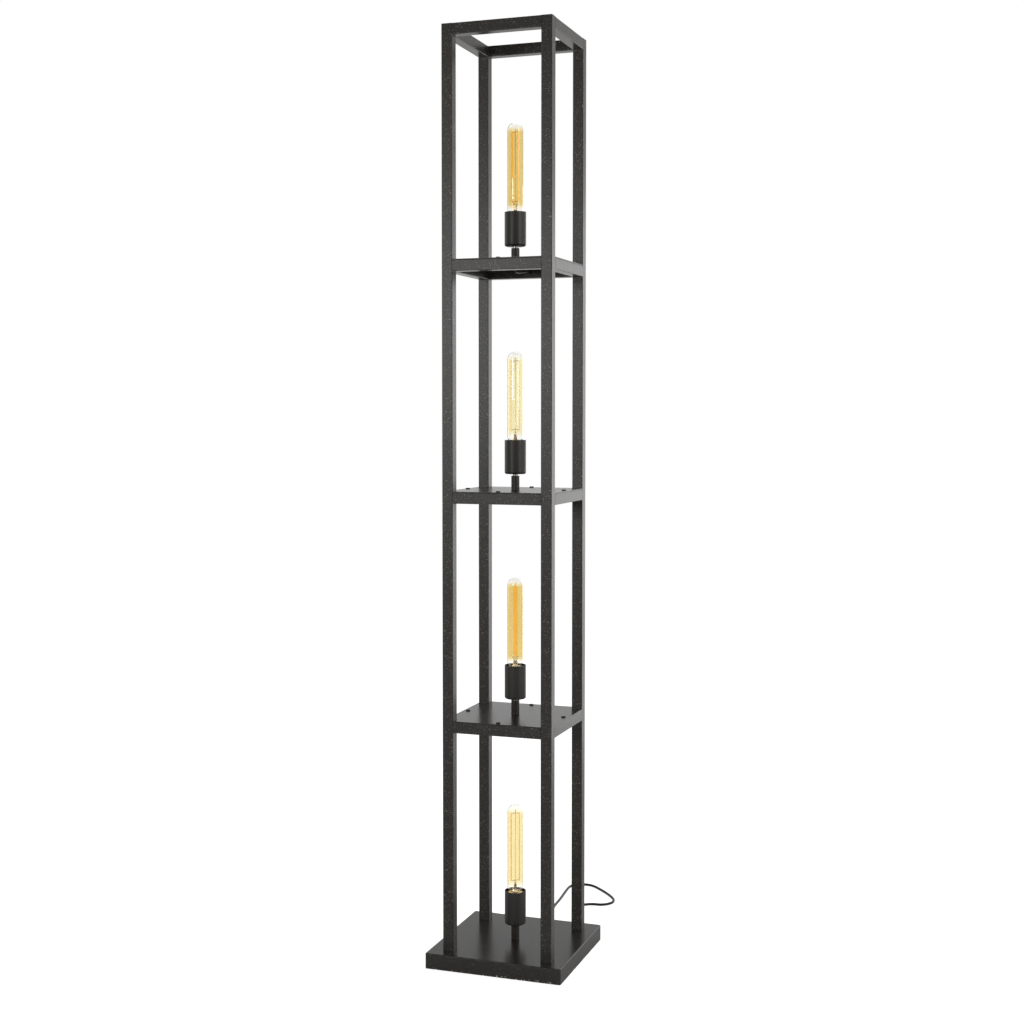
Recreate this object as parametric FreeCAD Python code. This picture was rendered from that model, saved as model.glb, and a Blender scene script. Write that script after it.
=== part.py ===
"""Shelf floor lamp: a square tower of welded steel tube on a weighted base, with four bulbs, one above another.

Units are millimetres. The origin is on the floor under the middle of the tower, +Z is up, +X is to the
right and the front faces -Y. Level 0 is the base top, and levels 1 to 3 are the shelves, from the lowest up.
"""
import FreeCAD, Part
import math
import os

Vec = FreeCAD.Vector
UP = Vec(0, 0, 1)

# Tower -------------------------------------------------------------------------------------------
TOTAL_HEIGHT = 1681.0
LEVEL_PITCH = 411.5        # from one shelf top to the next, and from the top shelf to the tower's top
SHELF_COUNT = 3
TOWER_SIDE = 205.0         # over the outer faces of the posts
POST_SIDE = 20.0           # square tube of the posts and the rails
TUBE_WALL = 1.2
TUBE_CORNER = 1.2          # rounding of the tube's long edges
PLATE_THICK = 1.5          # shelf plates
PLATE_INSET = 0.4          # plate edge behind the rails' outer faces
PLATE_NOTCH_CLEAR = 0.3    # plate notches round the posts
CAP_THICK = 1.5            # plugs that close the tops of the posts
CAP_PLUG_DEPTH = 8.0
CAP_PLUG_CLEAR = 0.1
CUT_OVER = 1.0             # a cut reaches this far past the face it opens

# Base --------------------------------------------------------------------------------------------
BASE_SIDE = 255.0
BASE_TOP = 28.5
BASE_CORNER = 3.5          # rounding of the upright edges
BASE_EDGE = 1.6            # rounding of the top edge
BASE_WALL = 2.0
SKIRT_FLOOR_GAP = 0.8      # the cover's lower edge stands this far off the floor
FOOT_PROUD = 1.5           # floor to the underside of the bottom plate
FOOT_RADIUS = 11.0
FOOT_PLACE = 100.0         # from the middle, along X and Y
BOTTOM_THICK = 1.5
BOTTOM_CLEAR = 0.5         # bottom plate inside the cover's walls
BALLAST_THICK = 14.0
BALLAST_CLEAR = 4.0        # ballast inside the cover's walls
BALLAST_WINDOW_X = 80.0
BALLAST_WINDOW_FRONT = -30.0
BALLAST_WINDOW_BACK = 74.0
BALLAST_CHANNEL = 26.0     # channel from the window to the back edge, for the cord
BOSS_RADIUS = 5.0          # pillars under the cover top that take the bottom screws
BOSS_PLACE = 70.0
BOSS_CLEAR = 0.5
BASE_SCREW_RADIUS = 2.0
BASE_SCREW_HEAD_RADIUS = 3.6
BASE_SCREW_HEAD = 1.2
BASE_SCREW_LENGTH = 12.0

# Fasteners ---------------------------------------------------------------------------------------
THREAD_CLEAR = 0.05        # screw shank in its tapped hole
HOLE_CLEAR = 0.25          # screw shank in a plain hole
SHELF_SCREW_RADIUS = 2.0
SHELF_SCREW_HEAD_RADIUS = 4.2
SHELF_SCREW_HEAD = 2.0
SHELF_SCREW_DEPTH = 7.0    # below the plate top
SHELF_SCREW_DOME = 1.6     # rounding of the heads
BOLT_RADIUS = 2.5          # bolts that hold the posts to the base
BOLT_HEAD_RADIUS = 4.25
BOLT_HEAD = 3.5
POST_NUT_HEIGHT = 9.0      # bar nuts welded in the feet of the posts
POST_NUT_WIDTH = 8.0
POST_NUT_CLEAR = 0.1
SCREW_SHORT = 1.0          # screw ends stop this far before the end of their threads

# Stems and lamp holders, measured up from the top of their level ------------------------------------
STEM_RADIUS = 7.5
STEM_HEIGHT = 25.5
NIPPLE_RADIUS = 5.0        # threaded pipe that carries the holder
NIPPLE_BORE = 3.5
NIPPLE_BELOW = 9.0         # below the top of the level
NIPPLE_INTO_SOCKET = 4.5
NIPPLE_NECK = 3.3          # bare pipe between the stem and the holder
LOCKNUT_RADIUS = 8.0       # across the corners
LOCKNUT_HEIGHT = 3.5
HOLDER_RADIUS = 19.5
HOLDER_HEIGHT = 61.7
HOLDER_WALL = 1.3
HOLDER_ROUND = 3.6         # rounding of the holder's lower edge
SOCKET_RADIUS = 16.6       # insulating insert inside the holder
SOCKET_BELOW_RIM = 4.0
SOCKET_FLOOR = 27.5        # height of the insert's solid lower part
SOCKET_CHAMFER = 1.5
CONTACT_WALL = 0.7         # brass shell that the bulb screws into
CONTACT_CAP_CLEAR = 0.25
FIT_CLEAR = 0.1

# Bulbs -------------------------------------------------------------------------------------------
CAP_RADIUS = 13.1          # over the thread
CAP_ROOT_RADIUS = 12.2
CAP_LENGTH = 27.0
CAP_THREAD_LENGTH = 19.0
CAP_THREAD_PITCH = 3.6
CAP_THREAD_START = 4.5     # above the tip
CAP_CREST_START = 0.35     # of the pitch
CAP_CREST_END = 0.6
CAP_COLLAR = 1.0
CAP_WALL = 0.8             # the cap is hollow
CAP_SEAT = 2.0             # its top, which carries the glass
CAP_SEAT_HOLE = 7.0
CAP_FLOOR = 5.5            # from the tip up to the hollow
CAP_TIP_RADIUS = 5.0
CAP_TIP_HEIGHT = 1.5
CAP_INSULATOR_RADIUS = 9.5
CAP_INSULATOR_TOP = 4.0
CAP_BELOW_RIM = 2.2        # top of the bulb's cap below the holder's rim
BULB_RADIUS = 14.6
BULB_WALL = 0.8
BULB_NECK_RADIUS = 12.0
BULB_NECK_LENGTH = 7.0
BULB_TOP = 251.0           # above the top of the level
MOUNT_RADIUS = 2.6         # glass pillar that carries the filaments
MOUNT_HEIGHT = 14.0
MOUNT_FLARE = 6.0          # height of its wider foot
MOUNT_FOOT_CLEAR = 1.0     # from the foot to the glass
FILAMENT_WIDTH = 5.0       # flat strips, their faces turned to the bulb's axis
FILAMENT_THICK = 1.2
FILAMENT_OFFSET = 7.8      # from the bulb's axis
FILAMENT_COUNT = 2
FILAMENT_TURNS = [34.0, -61.0, 14.0, -22.0]  # degrees from +X: each bulb is screwed in to its own angle
FILAMENT_START = 20.0      # above the cap
FILAMENT_BELOW_TOP = 16.0
SPIDER_THICK = 1.2         # wire arms that carry the filaments' ends
ROD_RADIUS = 1.0           # thin glass rod up the middle

# Wiring ------------------------------------------------------------------------------------------
CORD_DIAMETER = 5.0
LEAD_DIAMETER = 3.0        # leads inside the lamp
LEAD_BEND = 5.0            # bend radius that the tubes leave room for
LEAD_APART = 3.4           # between the leads that share a tube
LEAD_COLUMN = -20.0        # X of the leads' way back over the ballast
LEAD_COLUMN_STEP = 5.0
LEAD_LANES = [1, 0, 2]     # column of each shelf's lead, from the lowest shelf up
LEAD_LANE_STEP = 8.0       # between the leads' ends at the terminal block
LEAD_BELOW_BLOCK_MIDDLE = 1.0
LEAD_STEP_UP = 66.0        # Y where they have climbed above the ballast
LEAD_HOLE_CLEAR = 0.6
LEAD_SLOT_CLEAR = 0.4
RAIL_HOLE_EXTRA = 0.4      # a rail's lead hole is wider than the post's by this radius
LEAD_SAG = 5.5             # leads under a shelf hang this far below the middle of the rail
BLOCK_LENGTH = 30.0        # terminal block
BLOCK_WIDTH = 20.0
BLOCK_HEIGHT = 12.0
BLOCK_FRONT = 34.0
BLOCK_ROUND = 1.0
CORD_END_STRAIGHT = 22.0   # straight cord at the block and at the exit
EXIT_HEIGHT = 16.0         # cord exit in the back of the base
RELIEF_LENGTH = 30.0
RELIEF_ROOT_RADIUS = 5.8
RELIEF_ROOT_LENGTH = 3.0
RELIEF_TIP_RADIUS = 3.7
RELIEF_NECK_RADIUS = 5.0   # through the cover's wall
RELIEF_FLANGE_RADIUS = 7.5
RELIEF_FLANGE = 1.8
CORD_FIT_CLEAR = 0.06

# Cord switch: a slim rocker switch that lies on the floor -------------------------------------------
SWITCH_LENGTH = 60.0
SWITCH_WIDTH = 20.0
SWITCH_END_WIDTH = 10.0
SWITCH_HEIGHT = 12.0
SWITCH_WAIST = 40.0        # length of the full-width part
SWITCH_ROUND = 2.0
SWITCH_PLACE = (46.5, 251.5)
SWITCH_HEADING = (0.289, -0.957)
SWITCH_CORD_HEIGHT = 5.0
ROCKER_LENGTH = 17.0
ROCKER_WIDTH = 9.0
ROCKER_DEPTH = 5.0         # from the level top of the housing down to the axle
ROCKER_AXLE_RAISE = 1.5    # axle above that depth
ROCKER_POCKET_CLEAR = 2.0  # under the rocker's ends when it is tilted
ROCKER_END_CLEAR = 0.3
ROCKER_KEEL = 0.6          # rocker below its axle
ROCKER_END_DROP = 0.4      # the rocker's ends and its middle lie this far below the housing's top
ROCKER_MIDDLE_DROP = 0.6
ROCKER_CLEAR = 0.4
ROCKER_TILT = 7.0          # degrees either side of level
ROCKER_AXLE_RADIUS = 1.2
ROCKER_AXLE_CLEAR = 0.05
ROCKER_AXLE_STUB = 2.0     # into each cheek of the housing

# Plug: a flat two-pin plug --------------------------------------------------------------------------
PLUG_WIDTH = 35.0
PLUG_THICK = 13.7
PLUG_LENGTH = 36.0
PLUG_TAIL_WIDTH = 11.0
PLUG_TAIL_LENGTH = 12.0
PLUG_TAIL_FLARE = 2.0
PLUG_SHOULDER = 22.0       # where it has its full width, from the cord's end
PLUG_ROUND = 2.5
PLUG_PLACE = (27.0, 148.5)  # where the cord enters it
PLUG_PIN_RADIUS = 2.0
PLUG_PIN_LENGTH = 19.0
PLUG_PIN_SPACING = 18.6
PLUG_PIN_ROUND = 1.2
PLUG_PIN_ROOT_RADIUS = 1.6 # of the thinner root in the body
PLUG_PIN_ROOT_PROUD = 0.3  # the root shows this much outside the body
PLUG_PIN_SEAT = 6.0        # depth of the pins in the body
PLUG_PIN_FIT = 0.02

# Hank of the spare cord, behind the base --------------------------------------------------------------
HANK_MIDDLE = (-73.5, 157.5)
HANK_RUN = 75.0            # straight part of a turn
HANK_INNER_RADIUS = 15.3
HANK_STEP = 6.1            # from one turn to the next
HANK_LAYER = 5.7           # from the lower layer to the upper one
HANK_DRAW = 9.0            # the tie draws each run in by this much at the waist
HANK_LIFT = 2.0            # and lifts it by this much
HANK_TURNS_IN = 2.0
HANK_CLIMB_TURN = 0.25
HANK_TURNS_OUT = 1.5
HANK_POINTS_PER_QUARTER = 3
TIE_WIDTH = 8.0
TIE_THICK = 0.9
TIE_ROUND = 2.0
TIE_CLEAR = 0.7

# The cord's route on the floor, from the base to the switch and from the switch to the hank ------------
FLOOR_Z = CORD_DIAMETER / 2
BEND_SHARE = 0.45          # share of a straight run that a bend may take
ROUTE_TO_SWITCH = [
    (0.0, 173.0, 16.0), (-3.0, 195.0, 11.5), (-7.0, 221.0, 4.6), (-11.5, 251.0, 2.5), (-16.0, 289.0, 2.5),
    (-18.0, 336.0, 2.5), (-23.0, 384.0, 2.5), (-25.5, 431.0, 2.5), (11.5, 447.0, 2.5), (43.0, 419.0, 2.5),
    (72.0, 387.0, 2.5), (89.0, 360.6, 2.5), (89.5, 337.7, 2.5), (73.5, 321.3, 2.5), (53.4, 321.3, 2.5),
    (39.5, 312.0, 2.5)]
ROUTE_TO_HANK = [(60.5, 190.0, 2.5), (50.0, 174.0, 2.5), (30.0, 168.5, 2.5), (9.0, 176.0, 2.5)]
ROUTE_TO_PLUG = [(-7.0, 137.0, 3.6), (5.0, 145.5, 4.0)]
SWITCH_APPROACH = 15.0     # straight cord at each end of the switch
HANK_APPROACH = 16.0       # straight cord before the hank
HANK_LEAVE = 12.0          # and after it
PLUG_APPROACH = 11.0       # straight cord before the plug

# Places worked out from the sizes above -----------------------------------------------------------------
TOWER_HALF = TOWER_SIDE / 2
POST_CENTRE = TOWER_HALF - POST_SIDE / 2
RAIL_SPAN = TOWER_SIDE - 2 * POST_SIDE
BORE = POST_SIDE - 2 * TUBE_WALL
BOTTOM_TOP = FOOT_PROUD + BOTTOM_THICK
BALLAST_TOP = BOTTOM_TOP + BALLAST_THICK
COVER_INSIDE = BASE_TOP - BASE_WALL
SHELF_TOPS = [TOTAL_HEIGHT - LEVEL_PITCH * (SHELF_COUNT - k) for k in range(SHELF_COUNT)]
LEVELS = [BASE_TOP] + SHELF_TOPS
HOLDER_FOOT = STEM_HEIGHT + NIPPLE_NECK
HOLDER_RIM = HOLDER_FOOT + HOLDER_HEIGHT
SOCKET_FOOT = HOLDER_FOOT + HOLDER_WALL
CAP_TOP = HOLDER_RIM - CAP_BELOW_RIM
CAP_FOOT = CAP_TOP - CAP_LENGTH
CONTACT_BORE = CAP_RADIUS + CONTACT_CAP_CLEAR
CONTACT_RADIUS = CONTACT_BORE + CONTACT_WALL
BACK_FACE = BASE_SIDE / 2
POSTS = {
    "front_left": (-POST_CENTRE, -POST_CENTRE), "front_right": (POST_CENTRE, -POST_CENTRE),
    "back_left": (-POST_CENTRE, POST_CENTRE), "back_right": (POST_CENTRE, POST_CENTRE)}
MADE = {}


# Helpers ----------------------------------------------------------------------------------------------
def save(name, *solids):
    """Writes one node: one solid, or a group of separate solids."""
    shape = solids[0] if len(solids) == 1 else Part.makeCompound(list(solids))
    assert shape.isValid(), name
    MADE[name] = shape
    shape.exportStep("parts/" + name + ".step")


def box(low, high):
    """A box between two corners."""
    return Part.makeBox(high[0] - low[0], high[1] - low[1], high[2] - low[2], Vec(*low))


def rod(radius, low, height, axis=UP):
    """A cylinder that starts at the point low."""
    return Part.makeCylinder(radius, height, Vec(*low), axis)


def revolved(points, x=0.0, y=0.0):
    """A solid turned about the upright axis at x, y from (radius, z) corners."""
    corners = [Vec(x + r, y, z) for r, z in points]
    face = Part.Face(Part.makePolygon(corners + corners[:1]))
    return face.revolve(Vec(x, y, 0), UP, 360)


def along(solid, axis):
    """The edges of a solid that run straight along X, Y or Z (axis 0, 1 or 2)."""
    picked = []
    for edge in solid.Edges:
        if isinstance(edge.Curve, Part.Line) and abs(abs(edge.Curve.Direction[axis]) - 1) < 1e-6:
            picked.append(edge)
    return picked


def square_tube(low, high, axis):
    """Square tube with rounded long edges and a square bore, along X, Y or Z."""
    outer = box(low, high)
    outer = outer.makeFillet(TUBE_CORNER, along(outer, axis))
    bore_low = [value + (0 if k == axis else TUBE_WALL) for k, value in enumerate(low)]
    bore_high = [value - (0 if k == axis else TUBE_WALL) for k, value in enumerate(high)]
    return outer.cut(box(bore_low, bore_high))


def hexagon(radius, low, height):
    """A hexagonal prism with its corners on the radius."""
    x, y, z = low
    corners = [Vec(x + radius * math.cos(math.radians(60 * k)), y + radius * math.sin(math.radians(60 * k)), z)
               for k in range(6)]
    return Part.Face(Part.makePolygon(corners + corners[:1])).extrude(Vec(0, 0, height))


def bend(start, corner, end):
    """The arc that leaves start towards corner and reaches end, both as far from the corner."""
    to_start = (start - corner).normalize()
    to_end = (end - corner).normalize()
    half = math.acos(max(-1.0, min(1.0, to_start.dot(to_end)))) / 2
    reach = (start - corner).Length
    if abs(half - math.pi / 2) < 1e-5:
        return Part.LineSegment(start, end).toShape(), math.inf
    radius = reach * math.tan(half)
    middle = corner + (to_start + to_end).normalize() * (reach / math.cos(half) - radius)
    return Part.Arc(start, middle, end).toShape(), radius


def route_edges(points, largest=None):
    """Straight runs joined by tangent arcs, and the arcs' radii. Each arc is as large as its two runs allow."""
    points = [Vec(*tuple(p)) for p in points]
    edges = []
    radii = []
    here = points[0]
    for before, corner, after in zip(points, points[1:], points[2:]):
        shorter = min((before - corner).Length, (after - corner).Length)
        half = math.acos((before - corner).normalize().dot((after - corner).normalize())) / 2
        reach = BEND_SHARE * shorter
        if largest:
            reach = min(reach, largest / math.tan(half))
        start = corner + (before - corner).normalize() * reach
        end = corner + (after - corner).normalize() * reach
        edges.append(Part.LineSegment(here, start).toShape())
        arc, radius = bend(start, corner, end)
        edges.append(arc)
        radii.append(radius)
        here = end
    edges.append(Part.LineSegment(here, points[-1]).toShape())
    return edges, radii


def swept(edges, diameter):
    """A round tube, without a bore, along edges that follow each other."""
    first = edges[0]
    start = first.valueAt(first.FirstParameter)
    heading = first.tangentAt(first.FirstParameter)
    ring = Part.Wire(Part.makeCircle(diameter / 2, start, heading))
    return Part.Solid(Part.Wire(edges).makePipeShell([ring], True, False))


def report_cord(name, edges, radii, solid, diameter):
    """Prints what a cord's tube measures."""
    length = sum(edge.Length for edge in edges)
    section = math.pi * diameter ** 2 / 4
    share = solid.Volume / (section * length)
    finite = [r for r in radii if r != math.inf]
    print(f"{name}: {length:.1f} mm, tightest radius {min(finite):.1f} mm, volume over section x length {share:.4f}")
    print("   radii", " ".join(f"{r:.0f}" for r in finite))


def placed(solid, place, heading):
    """A solid modelled along +X at the origin, moved to place on the floor and turned to the heading."""
    angle = math.degrees(math.atan2(heading[1], heading[0]))
    copy = solid.copy()
    copy.rotate(Vec(0, 0, 0), UP, angle)
    copy.translate(Vec(place[0], place[1], 0))
    return copy


# Tower ------------------------------------------------------------------------------------------------
def rail_top(k):
    """Top of the rails of shelf k."""
    return SHELF_TOPS[k] - PLATE_THICK


def rail_middle(k):
    """Middle height of the rails of shelf k."""
    return rail_top(k) - POST_SIDE / 2


def lead_places():
    """Where the leads of the three shelves stand in the back left post, side by side left of the bar nut."""
    x, y = POSTS["back_left"]
    aside = (POST_NUT_WIDTH + BORE) / 4
    return [(x - aside, y + LEAD_APART * k) for k in (0, 1, -1)]


def lead_hole_radius():
    """Radius of a hole that a lead passes."""
    return LEAD_DIAMETER / 2 + LEAD_HOLE_CLEAR


def make_posts():
    """Four posts, their top plugs, and the bar nuts and bolts at their feet."""
    caps = []
    nuts = []
    bolts = []
    half = POST_SIDE / 2
    for name, (x, y) in POSTS.items():
        post = square_tube((x - half, y - half, BASE_TOP), (x + half, y + half, TOTAL_HEIGHT - CAP_THICK), 2)
        if name == "back_left":
            for k, (_, lead_y) in enumerate(lead_places()):
                start = (x, lead_y, rail_middle(k))
                post = post.cut(rod(lead_hole_radius(), start, half, Vec(1, 0, 0)))
        save("post_" + name, post)
        cap_low = TOTAL_HEIGHT - CAP_THICK
        cap = box((x - half, y - half, cap_low), (x + half, y + half, TOTAL_HEIGHT))
        cap = cap.makeFillet(TUBE_CORNER, along(cap, 2))
        plug = BORE / 2 - CAP_PLUG_CLEAR
        caps.append(cap.fuse(box((x - plug, y - plug, cap_low - CAP_PLUG_DEPTH), (x + plug, y + plug, cap_low))))
        grip = BORE / 2 - POST_NUT_CLEAR
        nut = box((x - POST_NUT_WIDTH / 2, y - grip, BASE_TOP), (x + POST_NUT_WIDTH / 2, y + grip,
                                                                 BASE_TOP + POST_NUT_HEIGHT))
        nuts.append(nut.cut(rod(BOLT_RADIUS + THREAD_CLEAR, (x, y, BASE_TOP), POST_NUT_HEIGHT)))
        head = rod(BOLT_HEAD_RADIUS, (x, y, COVER_INSIDE - BOLT_HEAD), BOLT_HEAD)
        shank = BASE_WALL + POST_NUT_HEIGHT - SCREW_SHORT
        bolts.append(head.fuse(rod(BOLT_RADIUS, (x, y, COVER_INSIDE), shank)))
    save("post_caps", *caps)
    save("post_bar_nuts", *nuts)
    save("post_bolts", *bolts)


def rail_ring(top, lead=None):
    """Four rails between the posts. The back one of a shelf has the holes for the shelf's lead."""
    low = top - POST_SIDE
    reach = RAIL_SPAN / 2
    outer = TOWER_HALF
    inner = TOWER_HALF - POST_SIDE
    rails = [
        square_tube((-reach, -outer, low), (reach, -inner, top), 0),
        square_tube((-reach, inner, low), (reach, outer, top), 0),
        square_tube((-outer, -reach, low), (-inner, reach, top), 1),
        square_tube((inner, -reach, low), (outer, reach, top), 1)]
    if lead is not None:
        hole = rod(lead_hole_radius() + RAIL_HOLE_EXTRA, (0, inner - CUT_OVER, low + POST_SIDE / 2),
                   TUBE_WALL + 2 * CUT_OVER, Vec(0, 1, 0))
        rails[1] = rails[1].cut(hole)
        tapped = SHELF_SCREW_RADIUS + THREAD_CLEAR
        for k, (x, y) in enumerate(screw_places()):
            rails[k] = rails[k].cut(rod(tapped, (x, y, top - TUBE_WALL - CUT_OVER), TUBE_WALL + 2 * CUT_OVER))
    return rails


def screw_places():
    """The four screws of a shelf plate: front, back, left and right."""
    return [(0, -POST_CENTRE), (0, POST_CENTRE), (-POST_CENTRE, 0), (POST_CENTRE, 0)]


def make_levels():
    """The rails of each shelf and of the top ring, the shelf plates and their screws."""
    names = ["lower_shelf", "middle_shelf", "upper_shelf"]
    screws = []
    for k, name in enumerate(names):
        save(name + "_rails", *rail_ring(rail_top(k), lead=k))
        top = SHELF_TOPS[k]
        edge = TOWER_HALF - PLATE_INSET
        plate = box((-edge, -edge, rail_top(k)), (edge, edge, top))
        for x, y in POSTS.values():
            reach = POST_SIDE / 2 + PLATE_NOTCH_CLEAR
            plate = plate.cut(box((x - reach, y - reach, rail_top(k)), (x + reach, y + reach, top)))
        plate = plate.cut(rod(NIPPLE_RADIUS + HOLE_CLEAR, (0, 0, rail_top(k)), PLATE_THICK))
        for x, y in screw_places():
            plate = plate.cut(rod(SHELF_SCREW_RADIUS + HOLE_CLEAR, (x, y, rail_top(k)), PLATE_THICK))
            head = rod(SHELF_SCREW_HEAD_RADIUS, (x, y, top), SHELF_SCREW_HEAD)
            rim = [e for e in head.Edges if isinstance(e.Curve, Part.Circle) and e.CenterOfMass.z > top + 1]
            head = head.makeFillet(SHELF_SCREW_DOME, rim)
            screws.append(head.fuse(rod(SHELF_SCREW_RADIUS, (x, y, top - SHELF_SCREW_DEPTH), SHELF_SCREW_DEPTH)))
        save(name + "_plate", plate)
    save("top_rails", *rail_ring(TOTAL_HEIGHT))
    save("shelf_screws", *screws)


# Base -------------------------------------------------------------------------------------------------
def boss_places():
    """The four pillars under the cover top."""
    return [(sx * BOSS_PLACE, sy * BOSS_PLACE) for sx in (-1, 1) for sy in (-1, 1)]


def make_base():
    """Cover, ballast, bottom plate, feet and bottom screws."""
    half = BASE_SIDE / 2
    cover = box((-half, -half, SKIRT_FLOOR_GAP), (half, half, BASE_TOP))
    cover = cover.makeFillet(BASE_CORNER, along(cover, 2))
    rim = [e for e in cover.Edges if min(v.Z for v in e.Vertexes) > BASE_TOP - 1e-3]
    cover = cover.makeFillet(BASE_EDGE, rim)
    inside = half - BASE_WALL
    cover = cover.cut(box((-inside, -inside, 0), (inside, inside, COVER_INSIDE)))
    for x, y in boss_places():
        pillar = rod(BOSS_RADIUS, (x, y, BOTTOM_TOP), COVER_INSIDE - BOTTOM_TOP)
        cover = cover.fuse(pillar)
    for x, y in boss_places():
        cover = cover.cut(rod(BASE_SCREW_RADIUS + THREAD_CLEAR, (x, y, BOTTOM_TOP), BASE_SCREW_LENGTH))
    for x, y in POSTS.values():
        cover = cover.cut(rod(BOLT_RADIUS + HOLE_CLEAR, (x, y, COVER_INSIDE - CUT_OVER), BASE_WALL + 2 * CUT_OVER))
    x, y = lead_places()[0]
    wide = LEAD_DIAMETER / 2 + LEAD_SLOT_CLEAR
    deep = wide + LEAD_APART
    cover = cover.cut(box((x - wide, y - deep, COVER_INSIDE - CUT_OVER), (x + wide, y + deep, BASE_TOP + CUT_OVER)))
    cover = cover.cut(rod(NIPPLE_RADIUS + HOLE_CLEAR, (0, 0, COVER_INSIDE - CUT_OVER), BASE_WALL + 2 * CUT_OVER))
    gland = rod(RELIEF_NECK_RADIUS + FIT_CLEAR, (0, inside - CUT_OVER, EXIT_HEIGHT), BASE_WALL + 2 * CUT_OVER,
                Vec(0, 1, 0))
    save("base_cover", cover.cut(gland))

    edge = inside - BOTTOM_CLEAR
    bottom = box((-edge, -edge, FOOT_PROUD), (edge, edge, BOTTOM_TOP))
    for x, y in boss_places():
        bottom = bottom.cut(rod(BASE_SCREW_RADIUS + HOLE_CLEAR, (x, y, FOOT_PROUD), BOTTOM_THICK))
    save("base_bottom_plate", bottom)

    edge = inside - BALLAST_CLEAR
    ballast = box((-edge, -edge, BOTTOM_TOP), (edge, edge, BALLAST_TOP))
    window = BALLAST_WINDOW_X / 2
    ballast = ballast.cut(box((-window, BALLAST_WINDOW_FRONT, BOTTOM_TOP), (window, BALLAST_WINDOW_BACK, BALLAST_TOP)))
    channel = BALLAST_CHANNEL / 2
    ballast = ballast.cut(box((-channel, 0, BOTTOM_TOP), (channel, edge, BALLAST_TOP)))
    for x, y in boss_places():
        ballast = ballast.cut(rod(BOSS_RADIUS + BOSS_CLEAR, (x, y, BOTTOM_TOP), BALLAST_THICK))
    save("base_ballast", ballast)

    feet = [rod(FOOT_RADIUS, (sx * FOOT_PLACE, sy * FOOT_PLACE, 0), FOOT_PROUD) for sx in (-1, 1) for sy in (-1, 1)]
    save("base_feet", *feet)
    screws = []
    for x, y in boss_places():
        head = rod(BASE_SCREW_HEAD_RADIUS, (x, y, FOOT_PROUD - BASE_SCREW_HEAD), BASE_SCREW_HEAD)
        shank = rod(BASE_SCREW_RADIUS, (x, y, FOOT_PROUD), BOTTOM_THICK + BASE_SCREW_LENGTH - SCREW_SHORT)
        screws.append(head.fuse(shank))
    save("base_screws", *screws)


# Lamp holders and bulbs ---------------------------------------------------------------------------------
def make_stems():
    """Stems, the threaded pipes inside them and the locknuts under the plates."""
    pipes = []
    nuts = []
    for k, level in enumerate(LEVELS):
        bore = NIPPLE_RADIUS + HOLE_CLEAR
        stem = rod(STEM_RADIUS, (0, 0, level), STEM_HEIGHT).cut(rod(bore, (0, 0, level), STEM_HEIGHT))
        save(f"stem_{k + 1}", stem)
        low = level - NIPPLE_BELOW
        length = NIPPLE_BELOW + SOCKET_FOOT + NIPPLE_INTO_SOCKET
        pipes.append(rod(NIPPLE_RADIUS, (0, 0, low), length).cut(rod(NIPPLE_BORE, (0, 0, low), length)))
        under = level - (BASE_WALL if k == 0 else PLATE_THICK) - LOCKNUT_HEIGHT
        nut = hexagon(LOCKNUT_RADIUS, (0, 0, under), LOCKNUT_HEIGHT)
        nuts.append(nut.cut(rod(NIPPLE_RADIUS + THREAD_CLEAR, (0, 0, under), LOCKNUT_HEIGHT)))
    save("threaded_pipes", *pipes)
    save("pipe_locknuts", *nuts)


def holder_shell(level):
    """A cup with a rounded foot."""
    foot = level + HOLDER_FOOT
    cup = rod(HOLDER_RADIUS, (0, 0, foot), HOLDER_HEIGHT)
    rim = [e for e in cup.Edges if isinstance(e.Curve, Part.Circle) and e.CenterOfMass.z < foot + 1]
    cup = cup.makeFillet(HOLDER_ROUND, rim)
    hollow = rod(HOLDER_RADIUS - HOLDER_WALL, (0, 0, foot + HOLDER_WALL), HOLDER_HEIGHT)
    rim = [e for e in hollow.Edges if isinstance(e.Curve, Part.Circle) and e.CenterOfMass.z < foot + 3]
    hollow = hollow.makeFillet(HOLDER_ROUND - HOLDER_WALL, rim)
    return cup.cut(hollow).cut(rod(NIPPLE_RADIUS + FIT_CLEAR, (0, 0, foot), HOLDER_WALL))


def socket_insert(level):
    """The insulating insert: a solid floor with the pipe's thread, and a ring round the brass shell."""
    foot = level + SOCKET_FOOT
    top = level + HOLDER_RIM - SOCKET_BELOW_RIM
    body = rod(SOCKET_RADIUS, (0, 0, foot), top - foot)
    rim = [e for e in body.Edges if isinstance(e.Curve, Part.Circle) and e.CenterOfMass.z < foot + SOCKET_CHAMFER]
    body = body.makeChamfer(SOCKET_CHAMFER, rim)
    body = body.cut(rod(CONTACT_RADIUS + FIT_CLEAR, (0, 0, foot + SOCKET_FLOOR), top - foot))
    return body.cut(rod(NIPPLE_RADIUS + THREAD_CLEAR, (0, 0, foot), NIPPLE_INTO_SOCKET + FIT_CLEAR))


def socket_contacts(level):
    """The brass shell and the centre contact."""
    foot = level + SOCKET_FOOT + SOCKET_FLOOR
    top = level + HOLDER_RIM - SOCKET_BELOW_RIM
    shell = rod(CONTACT_RADIUS, (0, 0, foot), top - foot).cut(rod(CONTACT_BORE, (0, 0, foot), top - foot))
    tongue = level + CAP_FOOT - foot
    return [shell, rod(CAP_TIP_RADIUS, (0, 0, foot), tongue)]


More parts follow.
